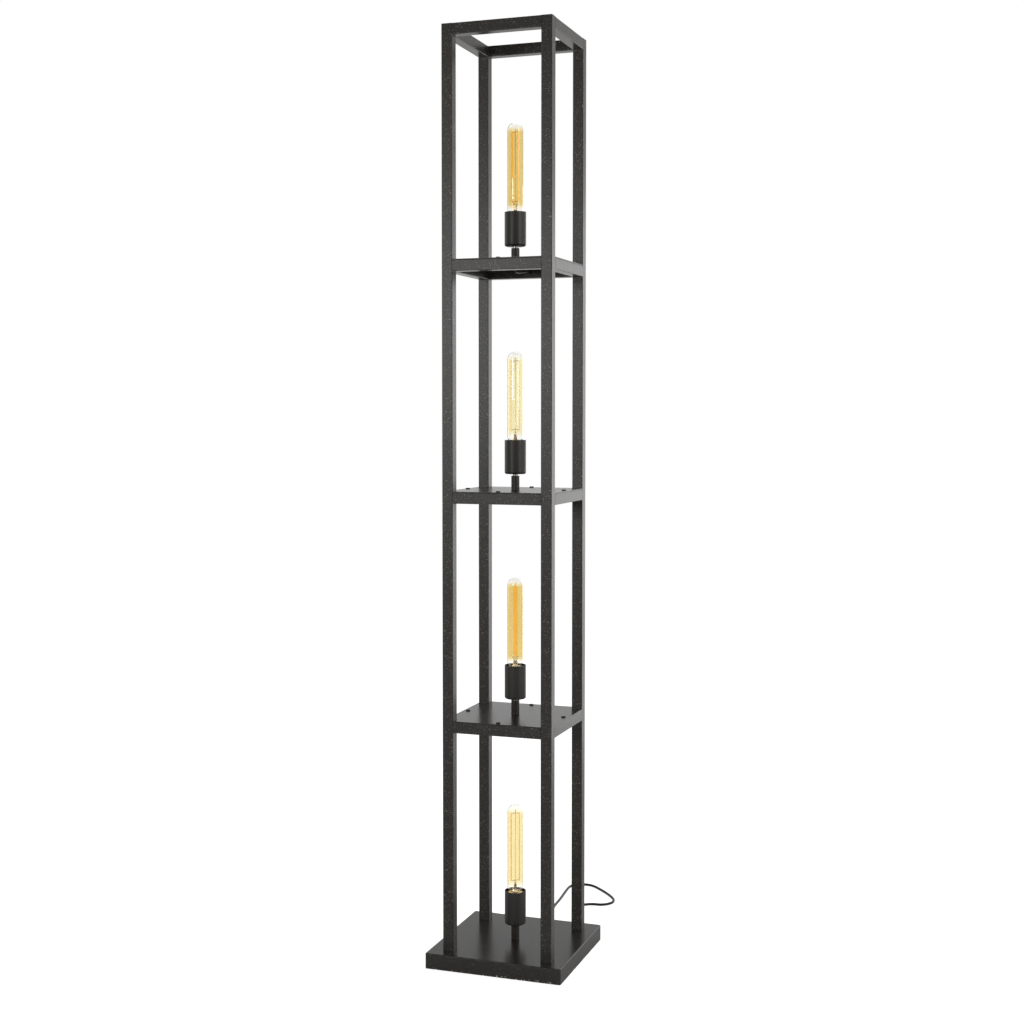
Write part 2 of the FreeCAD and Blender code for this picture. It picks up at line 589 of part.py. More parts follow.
def bulb_cap(level):
    """The bulb's hollow screw cap: contact tip, insulator, round thread rings and a seat for the glass."""
    foot = level + CAP_FOOT
    profile = [(0, foot), (CAP_TIP_RADIUS, foot), (CAP_TIP_RADIUS, foot + CAP_TIP_HEIGHT),
               (CAP_INSULATOR_RADIUS, foot + CAP_INSULATOR_TOP)]
    start = foot + CAP_THREAD_START
    rings = int(CAP_THREAD_LENGTH / CAP_THREAD_PITCH)
    for k in range(rings):
        z = start + k * CAP_THREAD_PITCH
        profile += [(CAP_ROOT_RADIUS, z), (CAP_RADIUS, z + CAP_THREAD_PITCH * CAP_CREST_START),
                    (CAP_RADIUS, z + CAP_THREAD_PITCH * CAP_CREST_END)]
    top = level + CAP_TOP
    profile += [(CAP_ROOT_RADIUS, start + rings * CAP_THREAD_PITCH), (CAP_RADIUS, top - CAP_COLLAR), (CAP_RADIUS, top),
                (0, top)]
    hollow = rod(CAP_ROOT_RADIUS - CAP_WALL, (0, 0, foot + CAP_FLOOR), CAP_LENGTH - CAP_FLOOR - CAP_SEAT)
    hole = rod(CAP_SEAT_HOLE, (0, 0, top - CAP_SEAT - CUT_OVER), CAP_SEAT + 2 * CUT_OVER)
    return revolved(profile).cut(hollow).cut(hole)


def dome(radius, foot, top):
    """Face of a closed tube of the radius with a half-round top, in the XZ plane, from the axis out."""
    shoulder = top - radius
    diagonal = radius * math.sqrt(0.5)
    edges = [
        Part.LineSegment(Vec(0, 0, foot + BULB_NECK_LENGTH), Vec(radius, 0, foot + BULB_NECK_LENGTH)).toShape(),
        Part.LineSegment(Vec(radius, 0, foot + BULB_NECK_LENGTH), Vec(radius, 0, shoulder)).toShape(),
        Part.Arc(Vec(radius, 0, shoulder), Vec(diagonal, 0, shoulder + diagonal), Vec(0, 0, top)).toShape(),
        Part.LineSegment(Vec(0, 0, top), Vec(0, 0, foot + BULB_NECK_LENGTH)).toShape()]
    return Part.Face(Part.Wire(edges)).revolve(Vec(0, 0, 0), UP, 360)


def bulb_glass(level):
    """The glass: a tube with a half-round top and a neck that narrows into the cap."""
    foot = level + CAP_TOP
    top = level + BULB_TOP
    wide = foot + BULB_NECK_LENGTH
    outer = dome(BULB_RADIUS, foot, top)
    neck = revolved([(0, foot), (BULB_NECK_RADIUS, foot), (BULB_RADIUS, wide), (0, wide)])
    inner = dome(BULB_RADIUS - BULB_WALL, foot, top - BULB_WALL)
    slim = revolved([(0, foot), (BULB_NECK_RADIUS - BULB_WALL, foot), (BULB_RADIUS - BULB_WALL, wide), (0, wide)])
    return outer.fuse(neck).cut(inner.fuse(slim)).removeSplitter()


def bulb_filament(level, first):
    """Glass pillar, centre rod, wire arms and the filaments, as one piece. The first filament stands at an angle."""
    foot = level + CAP_TOP
    low = foot + FILAMENT_START
    high = level + BULB_TOP - FILAMENT_BELOW_TOP
    wide = BULB_NECK_RADIUS - BULB_WALL - MOUNT_FOOT_CLEAR
    piece = revolved([(0, foot), (wide, foot), (MOUNT_RADIUS, foot + MOUNT_FLARE),
                      (MOUNT_RADIUS, foot + MOUNT_HEIGHT), (0, foot + MOUNT_HEIGHT)])
    piece = piece.fuse(rod(ROD_RADIUS, (0, 0, foot + MOUNT_HEIGHT), high - foot - MOUNT_HEIGHT))
    for k in range(FILAMENT_COUNT):
        turn = math.radians(first + 360 / FILAMENT_COUNT * k)
        x = FILAMENT_OFFSET * math.cos(turn)
        y = FILAMENT_OFFSET * math.sin(turn)
        strip = box((-FILAMENT_THICK / 2, -FILAMENT_WIDTH / 2, low), (FILAMENT_THICK / 2, FILAMENT_WIDTH / 2, high))
        strip.rotate(Vec(0, 0, 0), UP, math.degrees(turn))
        strip.translate(Vec(x, y, 0))
        piece = piece.fuse(strip)
        for z in (low + SPIDER_THICK, high - SPIDER_THICK):
            piece = piece.fuse(rod(SPIDER_THICK / 2, (0, 0, z), FILAMENT_OFFSET, Vec(x, y, 0)))
    return piece


def make_lights():
    """Holder shells, socket inserts, contacts and bulbs of the four levels."""
    contacts = []
    for k, level in enumerate(LEVELS):
        save(f"holder_shell_{k + 1}", holder_shell(level))
        save(f"socket_insert_{k + 1}", socket_insert(level))
        contacts += socket_contacts(level)
        save(f"bulb_cap_{k + 1}", bulb_cap(level))
        save(f"bulb_glass_{k + 1}", bulb_glass(level))
        save(f"bulb_filament_{k + 1}", bulb_filament(level, FILAMENT_TURNS[k]))
    save("socket_contacts", *contacts)


# Wiring inside the lamp -----------------------------------------------------------------------------------
def make_inner_wiring():
    """Terminal block, the cord's end inside the base and a lead to each holder."""
    half = BLOCK_WIDTH / 2
    back = BLOCK_FRONT + BLOCK_LENGTH
    block = box((-half, BLOCK_FRONT, BOTTOM_TOP), (half, back, BOTTOM_TOP + BLOCK_HEIGHT))
    save("terminal_block", block.makeFillet(BLOCK_ROUND, along(block, 2)))
    middle = BOTTOM_TOP + BLOCK_HEIGHT / 2
    tip = BACK_FACE + RELIEF_LENGTH
    tail = [(0, back, middle), (0, back + CORD_END_STRAIGHT, middle),
            (0, BACK_FACE - CORD_END_STRAIGHT, EXIT_HEIGHT), (0, tip, EXIT_HEIGHT)]
    edges, radii = route_edges(tail)
    cord_end = swept(edges, CORD_DIAMETER)
    report_cord("cord inside the base", edges, radii, cord_end, CORD_DIAMETER)
    save("cord_end", cord_end)

    low = middle - LEAD_BELOW_BLOCK_MIDDLE
    top = LEVELS[0] + SOCKET_FOOT + NIPPLE_INTO_SOCKET
    edges, _ = route_edges([(0, BLOCK_FRONT, low), (0, 0, low), (0, 0, top)], LEAD_BEND)
    leads = [swept(edges, LEAD_DIAMETER)]
    over = BALLAST_TOP + LEAD_DIAMETER
    for k, (x, y) in enumerate(lead_places()):
        column = LEAD_COLUMN - LEAD_COLUMN_STEP * LEAD_LANES[k]
        exit_y = back - LEAD_LANE_STEP * (LEAD_LANES[k] + 1)
        top = SHELF_TOPS[k] + SOCKET_FOOT + NIPPLE_INTO_SOCKET
        high = rail_middle(k)
        points = [(-half, exit_y, middle), (column, exit_y, middle), (column, LEAD_STEP_UP, over),
                  (column, y, over), (x, y, over), (x, y, high), (0, y, high),
                  (0, TOWER_HALF - 2 * POST_SIDE, high), (0, POST_SIDE, high - LEAD_SAG),
                  (0, 0, high - LEAD_SAG), (0, 0, top)]
        edges, _ = route_edges(points, LEAD_BEND)
        leads.append(swept(edges, LEAD_DIAMETER))
    save("inner_leads", *leads)


def make_relief():
    """Strain relief: an inner flange, a neck through the cover's wall and a tapered sleeve."""
    inside = BACK_FACE - BASE_WALL
    profile = [(RELIEF_FLANGE_RADIUS, inside - RELIEF_FLANGE), (RELIEF_FLANGE_RADIUS, inside),
               (RELIEF_NECK_RADIUS, inside), (RELIEF_NECK_RADIUS, BACK_FACE), (RELIEF_ROOT_RADIUS, BACK_FACE),
               (RELIEF_ROOT_RADIUS, BACK_FACE + RELIEF_ROOT_LENGTH), (RELIEF_TIP_RADIUS, BACK_FACE + RELIEF_LENGTH)]
    bore = CORD_DIAMETER / 2 + CORD_FIT_CLEAR
    corners = [Vec(0, y, EXIT_HEIGHT + r) for r, y in profile]
    corners.append(Vec(0, BACK_FACE + RELIEF_LENGTH, EXIT_HEIGHT + bore))
    corners.append(Vec(0, inside - RELIEF_FLANGE, EXIT_HEIGHT + bore))
    face = Part.Face(Part.makePolygon(corners + corners[:1]))
    save("cord_relief", face.revolve(Vec(0, 0, EXIT_HEIGHT), Vec(0, 1, 0), 360))


# Cord switch ------------------------------------------------------------------------------------------------
def rocker_axle_height():
    """Height of the rocker's axle above the floor."""
    return SWITCH_HEIGHT - ROCKER_DEPTH + ROCKER_AXLE_RAISE


def make_switch():
    """The switch housing with its pocket, and the rocker on its axle, at one end of its travel."""
    full = SWITCH_WAIST / 2
    end = SWITCH_LENGTH / 2
    wide = SWITCH_WIDTH / 2
    slim = SWITCH_END_WIDTH / 2
    corners = [(-end, -slim), (-full, -wide), (full, -wide), (end, -slim), (end, slim), (full, wide), (-full, wide),
               (-end, slim)]
    outline = [Vec(x, y, 0) for x, y in corners]
    housing = Part.Face(Part.makePolygon(outline + outline[:1])).extrude(Vec(0, 0, SWITCH_HEIGHT))
    rim = [e for e in housing.Edges if min(v.Z for v in e.Vertexes) > SWITCH_HEIGHT - 1e-3]
    housing = housing.makeFillet(SWITCH_ROUND, rim)
    axle = rocker_axle_height()
    swing = ROCKER_LENGTH / 2 + ROCKER_CLEAR
    side = ROCKER_WIDTH / 2 + ROCKER_CLEAR
    floor = axle - ROCKER_LENGTH / 2 * math.sin(math.radians(2 * ROCKER_TILT)) - ROCKER_POCKET_CLEAR
    housing = housing.cut(box((-swing, -side, floor), (swing, side, SWITCH_HEIGHT + CUT_OVER)))
    stub = ROCKER_WIDTH / 2 + ROCKER_AXLE_STUB
    across = Vec(0, 1, 0)
    hole = rod(ROCKER_AXLE_RADIUS + ROCKER_AXLE_CLEAR, (0, -stub, axle), 2 * stub, across)
    save("switch_housing", placed(housing.cut(hole), SWITCH_PLACE, SWITCH_HEADING))

    reach = ROCKER_LENGTH / 2 - ROCKER_END_CLEAR
    high = SWITCH_HEIGHT - axle
    profile = [(-reach, -ROCKER_KEEL), (reach, -ROCKER_KEEL), (reach, high - ROCKER_END_DROP),
               (0, high - ROCKER_MIDDLE_DROP), (-reach, high - ROCKER_END_DROP)]
    face = [Vec(x, -ROCKER_WIDTH / 2, axle + z) for x, z in profile]
    rocker = Part.Face(Part.makePolygon(face + face[:1])).extrude(Vec(0, ROCKER_WIDTH, 0))
    pin = rod(ROCKER_AXLE_RADIUS, (0, -stub, axle), 2 * stub, across)
    rocker = rocker.fuse(pin).removeSplitter()
    rocker.rotate(Vec(0, 0, axle), across, -ROCKER_TILT)
    save("switch_rocker", placed(rocker, SWITCH_PLACE, SWITCH_HEADING))


# Plug ---------------------------------------------------------------------------------------------------------
def make_plug():
    """A flat two-pin plug that lies on the floor, its pins towards +X."""
    x, y = PLUG_PLACE
    tail = PLUG_TAIL_WIDTH / 2
    wide = PLUG_WIDTH / 2
    half = [(0, tail), (PLUG_TAIL_LENGTH, tail + PLUG_TAIL_FLARE), (PLUG_SHOULDER, wide), (PLUG_LENGTH, wide)]
    corners = [(x + px, y - py) for px, py in half] + [(x + px, y + py) for px, py in reversed(half)]
    outline = [Vec(cx, cy, 0) for cx, cy in corners]
    body = Part.Face(Part.makePolygon(outline + outline[:1])).extrude(Vec(0, 0, PLUG_THICK))
    rim = [e for e in body.Edges if min(v.Z for v in e.Vertexes) > PLUG_THICK - 1e-3]
    body = body.makeFillet(PLUG_ROUND, rim)
    pins = []
    for side in (-1, 1):
        start = (x + PLUG_LENGTH - PLUG_PIN_SEAT, y + side * PLUG_PIN_SPACING / 2, PLUG_THICK / 2)
        body = body.cut(rod(PLUG_PIN_ROOT_RADIUS + PLUG_PIN_FIT, start, PLUG_PIN_SEAT, Vec(1, 0, 0)))
        root = rod(PLUG_PIN_ROOT_RADIUS, start, PLUG_PIN_SEAT + PLUG_PIN_ROOT_PROUD, Vec(1, 0, 0))
        shoulder = (x + PLUG_LENGTH + PLUG_PIN_ROOT_PROUD, start[1], start[2])
        pin = rod(PLUG_PIN_RADIUS, shoulder, PLUG_PIN_LENGTH - PLUG_PIN_ROOT_PROUD, Vec(1, 0, 0))
        tip = [e for e in pin.Edges if isinstance(e.Curve, Part.Circle) and e.CenterOfMass.x > shoulder[0] + CUT_OVER]
        pins.append(pin.makeFillet(PLUG_PIN_ROUND, tip).fuse(root))
    save("plug_body", body)
    save("plug_pins", *pins)


# Cord outside the lamp --------------------------------------------------------------------------------------
def hank_point(turn):
    """A point of the hank's centre line. turn counts the turns from the hank's start."""
    climb_end = HANK_TURNS_IN + HANK_CLIMB_TURN
    outer = HANK_INNER_RADIUS + HANK_STEP * HANK_TURNS_IN
    share = max(0.0, min(1.0, (turn - HANK_TURNS_IN) / HANK_CLIMB_TURN))
    if turn < climb_end:
        radius = outer - HANK_STEP * min(turn, HANK_TURNS_IN)
    else:
        radius = HANK_INNER_RADIUS + HANK_STEP * (turn - climb_end)
    z = FLOOR_Z + HANK_LAYER * share * share * (3 - 2 * share)
    quarter = 4 * (turn % 1.0)
    side = HANK_RUN / 2
    if quarter < 1 or 2 <= quarter < 3:
        along_run = quarter % 1.0
        sign = 1 if quarter < 1 else -1
        x = sign * side * (1 - 2 * along_run)
        waist = (1 + math.cos(2 * math.pi * x / HANK_RUN)) / 2
        return Vec(x, sign * (radius - HANK_DRAW * waist), z + HANK_LIFT * waist)
    sign = -1 if quarter < 2 else 1
    angle = math.pi * (quarter % 1.0)
    return Vec(sign * (side + radius * math.sin(angle)), -sign * radius * math.cos(angle), z)


def hank_edges():
    """The hank's centre line as pairs of arcs, with a straight end of one diameter each side."""
    total = HANK_TURNS_IN + HANK_CLIMB_TURN + HANK_TURNS_OUT
    steps = round(total * 4 * HANK_POINTS_PER_QUARTER)
    small = 1e-3
    middle = Vec(HANK_MIDDLE[0], HANK_MIDDLE[1], 0)
    edges = []
    radii = []
    knots = []
    for k in range(steps + 1):
        turn = total * k / steps
        before = hank_point(max(turn - small, 0.0))
        after = hank_point(min(turn + small, total - 1e-9))
        heading = (after - before).normalize()
        if k in (0, steps):
            heading = Vec(-1, 0, 0) if k == 0 else Vec(1, 0, 0)
        knots.append((middle + hank_point(min(turn, total - 1e-9)), heading))
    first, heading = knots[0]
    edges.append(Part.LineSegment(first - heading * CORD_DIAMETER, first).toShape())
    for (start, leave), (end, arrive) in zip(knots, knots[1:]):
        gap = end - start
        both = gap.dot(leave + arrive)
        spread = 2 * (1 - leave.dot(arrive))
        if spread < 1e-9:
            reach = gap.dot(gap) / (2 * both)
        else:
            reach = (math.sqrt(both * both + spread * gap.dot(gap)) - both) / spread
        joint = (start + leave * reach + end - arrive * reach) * 0.5
        for a, corner, b in ((start, start + leave * reach, joint), (joint, end - arrive * reach, end)):
            edge, radius = bend(a, corner, b)
            edges.append(edge)
            radii.append(radius)
    last, heading = knots[-1]
    edges.append(Part.LineSegment(last, last + heading * CORD_DIAMETER).toShape())
    return edges, radii


def least_self_gap(edges, diameter):
    """The smallest gap between two stretches of a tube that are not neighbours along it."""
    points = []
    run = 0.0
    for edge in edges:
        count = max(2, int(edge.Length / 1.0))
        for k in range(count):
            u = edge.FirstParameter + (edge.LastParameter - edge.FirstParameter) * k / count
            points.append((run + edge.Length * k / count, edge.valueAt(u)))
        run += edge.Length
    least = math.inf
    for i, (s, p) in enumerate(points):
        for t, q in points[i + 1:]:
            if t - s > 6 * diameter:
                least = min(least, (p - q).Length)
    return least - diameter


def make_cord():
    """The cord outside the lamp: to the switch, on to the hank, the hank, its tie, and on to the plug."""
    heading = Vec(SWITCH_HEADING[0], SWITCH_HEADING[1], 0).normalize()
    centre = Vec(SWITCH_PLACE[0], SWITCH_PLACE[1], SWITCH_CORD_HEIGHT)
    far_end = centre - heading * (SWITCH_LENGTH / 2)
    near_end = centre + heading * (SWITCH_LENGTH / 2)
    edges, radii = hank_edges()
    hank = swept(edges, CORD_DIAMETER)
    report_cord("cord_hank", edges, radii, hank, CORD_DIAMETER)
    print(f"   least gap between turns {least_self_gap(edges, CORD_DIAMETER):.2f} mm")
    hank_start = edges[0].Vertexes[0].Point
    hank_end = edges[-1].Vertexes[-1].Point

    approach = hank_start + Vec(HANK_APPROACH, 0, 0)
    leave = hank_end + Vec(HANK_LEAVE, 0, 0)
    plug_entry = Vec(PLUG_PLACE[0], PLUG_PLACE[1], PLUG_THICK / 2)
    reach = heading * SWITCH_APPROACH
    routes = {
        "cord_lamp_side": [(0, BACK_FACE + RELIEF_LENGTH, EXIT_HEIGHT)] + ROUTE_TO_SWITCH
        + [far_end - reach, far_end],
        "cord_middle": [near_end, near_end + reach] + ROUTE_TO_HANK + [approach, hank_start],
        "cord_plug_side": [hank_end, leave] + ROUTE_TO_PLUG
        + [plug_entry - Vec(PLUG_APPROACH, 0, 0), plug_entry]}
    total = sum(edge.Length for edge in edges)
    for name, points in routes.items():
        edges, radii = route_edges(points)
        tube = swept(edges, CORD_DIAMETER)
        report_cord(name, edges, radii, tube, CORD_DIAMETER)
        total += sum(edge.Length for edge in edges)
        save(name, tube)
    save("cord_hank", hank)
    print(f"cord outside the lamp, with the switch: {total + SWITCH_LENGTH:.0f} mm")

    turns = HANK_TURNS_IN + HANK_CLIMB_TURN + HANK_TURNS_OUT
    lows = [hank_point(0.125 + 0.5 * k) for k in range(int(2 * turns) + 1)]
    reach = CORD_DIAMETER / 2 + TIE_CLEAR
    back = max(p.y for p in lows) + reach
    front = min(p.y for p in lows) - reach
    bottom = min(p.z for p in lows) - reach
    top = max(p.z for p in lows) + reach
    x, y = HANK_MIDDLE
    outer = box((x - TIE_WIDTH / 2, y + front - TIE_THICK, bottom - TIE_THICK),
                (x + TIE_WIDTH / 2, y + back + TIE_THICK, top + TIE_THICK))
    outer = outer.makeFillet(TIE_ROUND, along(outer, 0))
    inner = box((x - TIE_WIDTH / 2, y + front, bottom), (x + TIE_WIDTH / 2, y + back, top))
    inner = inner.makeFillet(TIE_ROUND - TIE_THICK, along(inner, 0))
    print(f"tie from z {bottom - TIE_THICK:.2f}")
    save("hank_tie", outer.cut(inner))


os.makedirs("parts", exist_ok=True)
make_posts()
make_levels()
make_base()
make_stems()
make_lights()
make_inner_wiring()
make_relief()
make_switch()
make_plug()
make_cord()
print(len(MADE), "nodes,", sum(len(shape.Solids) for shape in MADE.values()), "solids")
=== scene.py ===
"""Scene of the shelf floor lamp: camera, cords, finishes, bulbs and a plain studio.

Everything is in metres, in the same frame as the solids: the origin is on the floor under the middle of
the tower, +Z is up and the front faces -Y.
"""
from __future__ import annotations

import logging
import math
from dataclasses import dataclass, field
from enum import Enum
from typing import Any

import bpy
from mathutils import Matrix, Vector

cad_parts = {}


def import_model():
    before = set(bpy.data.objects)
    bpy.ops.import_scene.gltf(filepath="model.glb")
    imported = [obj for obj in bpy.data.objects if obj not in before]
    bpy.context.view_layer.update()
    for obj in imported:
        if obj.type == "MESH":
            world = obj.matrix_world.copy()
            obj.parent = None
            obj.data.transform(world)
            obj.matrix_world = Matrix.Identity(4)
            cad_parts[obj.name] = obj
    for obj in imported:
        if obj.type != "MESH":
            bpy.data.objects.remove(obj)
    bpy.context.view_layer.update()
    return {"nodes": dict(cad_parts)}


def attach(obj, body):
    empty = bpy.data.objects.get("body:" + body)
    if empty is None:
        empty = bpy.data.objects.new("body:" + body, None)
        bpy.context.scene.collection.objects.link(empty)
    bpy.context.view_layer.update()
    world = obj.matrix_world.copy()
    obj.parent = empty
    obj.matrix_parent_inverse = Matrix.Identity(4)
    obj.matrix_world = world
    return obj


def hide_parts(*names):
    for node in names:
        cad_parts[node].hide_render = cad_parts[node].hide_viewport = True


LOG = logging.getLogger("shelf_lamp")
MM = 0.001
LAMP_BODY = "lamp"
HALF_TURN_DEG = 180.0
# A Mix node's sockets have the same names for every type of data, so they are picked by number.
FLOAT_A, FLOAT_B, FLOAT_OUT = 2, 3, 0
COLOUR_A, COLOUR_B, COLOUR_OUT = 6, 7, 2
Point = tuple[float, float, float]
Nodes = dict[str, bpy.types.Object]


class Level(Enum):
    """What each bulb's holder stands on, from the lowest up: the solid whose top is that level."""

    BASE = "base_cover"
    LOWER = "lower_shelf_plate"
    MIDDLE = "middle_shelf_plate"
    UPPER = "upper_shelf_plate"


# Colour and node helpers --------------------------------------------------------------------------


def linear(code: str) -> tuple[float, float, float, float]:
    """Turns an sRGB hex code into linear colour.

    Args:
        code: A # and six hex digits.

    Returns:
        Linear red, green and blue, and full opacity.
    """
    values = []
    for start in (1, 3, 5):
        value = int(code[start:start + 2], 16) / 255
        values.append(value / 12.92 if value <= 0.04045 else ((value + 0.055) / 1.055) ** 2.4)
    return values[0], values[1], values[2], 1.0


def add_node(tree: bpy.types.NodeTree, kind: str, settings: dict[str, Any] | None = None,
             inputs: dict[Any, Any] | None = None) -> bpy.types.Node:
    """Adds a node, sets its properties, and sets or links its inputs.

    Args:
        tree: The node tree.
        kind: The node's type name.
        settings: Property names and values.
        inputs: Input names or numbers, each with a value or with an output socket to link.

    Returns:
        The new node.
    """
    node = tree.nodes.new(kind)
    for name, value in (settings or {}).items():
        setattr(node, name, value)
    for name, value in (inputs or {}).items():
        if isinstance(value, bpy.types.NodeSocket):
            tree.links.new(value, node.inputs[name])
        else:
            node.inputs[name].default_value = value
    return node


def new_material(name: str) -> tuple[bpy.types.Material, bpy.types.NodeTree, bpy.types.Node]:
    """Makes an empty node material.

    Args:
        name: The material's name.

    Returns:
        The material, its node tree and its output node.
    """
    material = bpy.data.materials.new(name)
    material.use_nodes = True
    tree = material.node_tree
    tree.nodes.clear()
    return material, tree, add_node(tree, "ShaderNodeOutputMaterial")


# Finishes -----------------------------------------------------------------------------------------


@dataclass(frozen=True)
class PowderCoat:
    """Charcoal powder coat with a hammered texture, sprayed on steel and baked.

    It looks near black and satin, with sparse pale flecks on the upright faces, thicker in some patches than
    in others. The flecks are about 1.5 mm on the real lamp and are drawn a little coarser, so that they show
    at this distance. Faces that lie flat are smoother and have few flecks.
    """

    name: str = "hammered_powder_coat"
    colour: str = "#28241f"
    fleck: str = "#b8b1a5"
    roughness: float = 0.37
    smooth_roughness: float = 0.25
    ior: float = 1.5
    fleck_size: float = 2.0 * MM
    fleck_low: float = 0.60
    fleck_high: float = 0.70
    patch_size: float = 24.0 * MM
    patch_low: float = 0.30
    patch_high: float = 0.62
    patch_least: float = 0.35
    dimple_size: float = 3.5 * MM
    dimple_depth: float = 0.12 * MM
    dimple_strength: float = 0.55
    dimple_blend: float = 0.6
    slope_low: float = 0.4
    slope_high: float = 0.8
    flat_share: float = 0.12

    def build(self) -> bpy.types.Material:
        """Builds the material."""
        material, tree, output = new_material(self.name)
        place = add_node(tree, "ShaderNodeTexCoord").outputs["Object"]
        normal = add_node(tree, "ShaderNodeNewGeometry").outputs["Normal"]
        up = add_node(tree, "ShaderNodeSeparateXYZ", inputs={0: normal}).outputs["Z"]
        flat = add_node(tree, "ShaderNodeMath", {"operation": "ABSOLUTE"}, {0: up}).outputs[0]
        upright = add_node(tree, "ShaderNodeMapRange", inputs={
            "Value": flat, "From Min": self.slope_low, "From Max": self.slope_high,
            "To Min": 1.0, "To Max": self.flat_share}).outputs[0]
        grain = add_node(tree, "ShaderNodeTexNoise", inputs={
            "Vector": place, "Scale": 1 / self.fleck_size, "Detail": 3.0, "Roughness": 0.65})
        flecks = add_node(tree, "ShaderNodeMapRange", inputs={
            "Value": grain.outputs["Fac"], "From Min": self.fleck_low,
            "From Max": self.fleck_high}).outputs[0]
        patch = add_node(tree, "ShaderNodeTexNoise", inputs={
            "Vector": place, "Scale": 1 / self.patch_size, "Detail": 2.0, "Roughness": 0.5})
        where = add_node(tree, "ShaderNodeMapRange", inputs={
            "Value": patch.outputs["Fac"], "From Min": self.patch_low, "From Max": self.patch_high,
            "To Min": self.patch_least}).outputs[0]
        spread = add_node(tree, "ShaderNodeMath", {"operation": "MULTIPLY"}, {
            0: flecks, 1: where}).outputs[0]
        amount = add_node(tree, "ShaderNodeMath", {"operation": "MULTIPLY"}, {
            0: spread, 1: upright}).outputs[0]
        colour = add_node(tree, "ShaderNodeMix", {"data_type": "RGBA"}, {
            "Factor": amount, COLOUR_A: linear(self.colour),
            COLOUR_B: linear(self.fleck)}).outputs[COLOUR_OUT]
        dimples = add_node(tree, "ShaderNodeTexVoronoi", {"feature": "SMOOTH_F1"}, {
            "Vector": place, "Scale": 1 / self.dimple_size, "Smoothness": self.dimple_blend})
        height = add_node(tree, "ShaderNodeMath", {"operation": "MULTIPLY"}, {
            0: dimples.outputs["Distance"], 1: upright}).outputs[0]
        bump = add_node(tree, "ShaderNodeBump", inputs={
            "Strength": self.dimple_strength, "Distance": self.dimple_depth, "Height": height})
        rough = add_node(tree, "ShaderNodeMapRange", inputs={
            "Value": upright, "To Min": self.smooth_roughness, "To Max": self.roughness}).outputs[0]
        shader = add_node(tree, "ShaderNodeBsdfPrincipled", inputs={
            "Base Color": colour, "Roughness": rough, "IOR": self.ior, "Normal": bump.outputs["Normal"]})
        tree.links.new(shader.outputs[0], output.inputs["Surface"])
        return material


@dataclass(frozen=True)
class EdgeSpottedPowderCoat(PowderCoat):
    """The same coat on the base, with duller flecks and small pale spots along its lowest few millimetres."""

    name: str = "hammered_powder_coat_edge_spotted"
    fleck: str = "#7d766c"
    # Pale spots from thresholded noise, only in a band a few millimetres above the base's bottom.
    edge_spot: str = "#d8d5cf"
    edge_spot_size: float = 5.0 * MM
    edge_spot_low: float = 2.5 * MM
    edge_spot_high: float = 5.5 * MM
    edge_spot_start: float = 0.63
    edge_spot_full: float = 0.66

    def build(self) -> bpy.types.Material:
        """Builds the material: the plain coat, then the pale spots low on the base over its colour."""
        material = super().build()
        tree = material.node_tree
        shader = next(node for node in tree.nodes if node.bl_idname == "ShaderNodeBsdfPrincipled")
        coat = shader.inputs["Base Color"].links[0].from_socket
        place = add_node(tree, "ShaderNodeTexCoord").outputs["Object"]
        up = add_node(tree, "ShaderNodeSeparateXYZ", inputs={0: place}).outputs["Z"]
        low = add_node(tree, "ShaderNodeMapRange", inputs={
            "Value": up, "From Min": self.edge_spot_high, "From Max": self.edge_spot_low}).outputs[0]
        spots = add_node(tree, "ShaderNodeTexNoise", inputs={
            "Vector": place, "Scale": 1 / self.edge_spot_size, "Detail": 2.0, "Roughness": 0.6}).outputs["Fac"]
        edge_spots = add_node(tree, "ShaderNodeMapRange", inputs={
            "Value": spots, "From Min": self.edge_spot_start, "From Max": self.edge_spot_full}).outputs[0]
        amount = add_node(tree, "ShaderNodeMath", {"operation": "MULTIPLY"}, {0: edge_spots, 1: low}).outputs[0]
        colour = add_node(tree, "ShaderNodeMix", {"data_type": "RGBA"}, {
            "Factor": amount, COLOUR_A: coat, COLOUR_B: linear(self.edge_spot)}).outputs[COLOUR_OUT]
        tree.links.new(colour, shader.inputs["Base Color"])
        return material


@dataclass(frozen=True)
class Satin:
    """A plain painted, plated or moulded surface, with a faint unevenness in its gloss.

    A metal keeps the shader's own IOR.
    """

    name: str
    colour: str
    roughness: float
    ior: float = 1.5
    metallic: float = 0.0
    grain_size: float = 4.0 * MM
    grain_depth: float = 0.02 * MM
    grain_strength: float = 0.4
    gloss_spread: float = 0.15

    def build(self) -> bpy.types.Material:
        """Builds the material."""
        material, tree, output = new_material(self.name)
        place = add_node(tree, "ShaderNodeTexCoord").outputs["Object"]
        grain = add_node(tree, "ShaderNodeTexNoise", inputs={
            "Vector": place, "Scale": 1 / self.grain_size, "Detail": 3.0})
        rough = add_node(tree, "ShaderNodeMapRange", inputs={
            "Value": grain.outputs["Fac"], "To Min": self.roughness * (1 - self.gloss_spread),
            "To Max": self.roughness * (1 + self.gloss_spread)}).outputs[0]
        bump = add_node(tree, "ShaderNodeBump", inputs={
            "Strength": self.grain_strength, "Distance": self.grain_depth, "Height": grain.outputs["Fac"]})
        shader = add_node(tree, "ShaderNodeBsdfPrincipled", inputs={
            "Base Color": linear(self.colour), "Metallic": self.metallic, "Roughness": rough,
            "Normal": bump.outputs["Normal"]})
        if not self.metallic:
            shader.inputs["IOR"].default_value = self.ior
        tree.links.new(shader.outputs[0], output.inputs["Surface"])
        return material


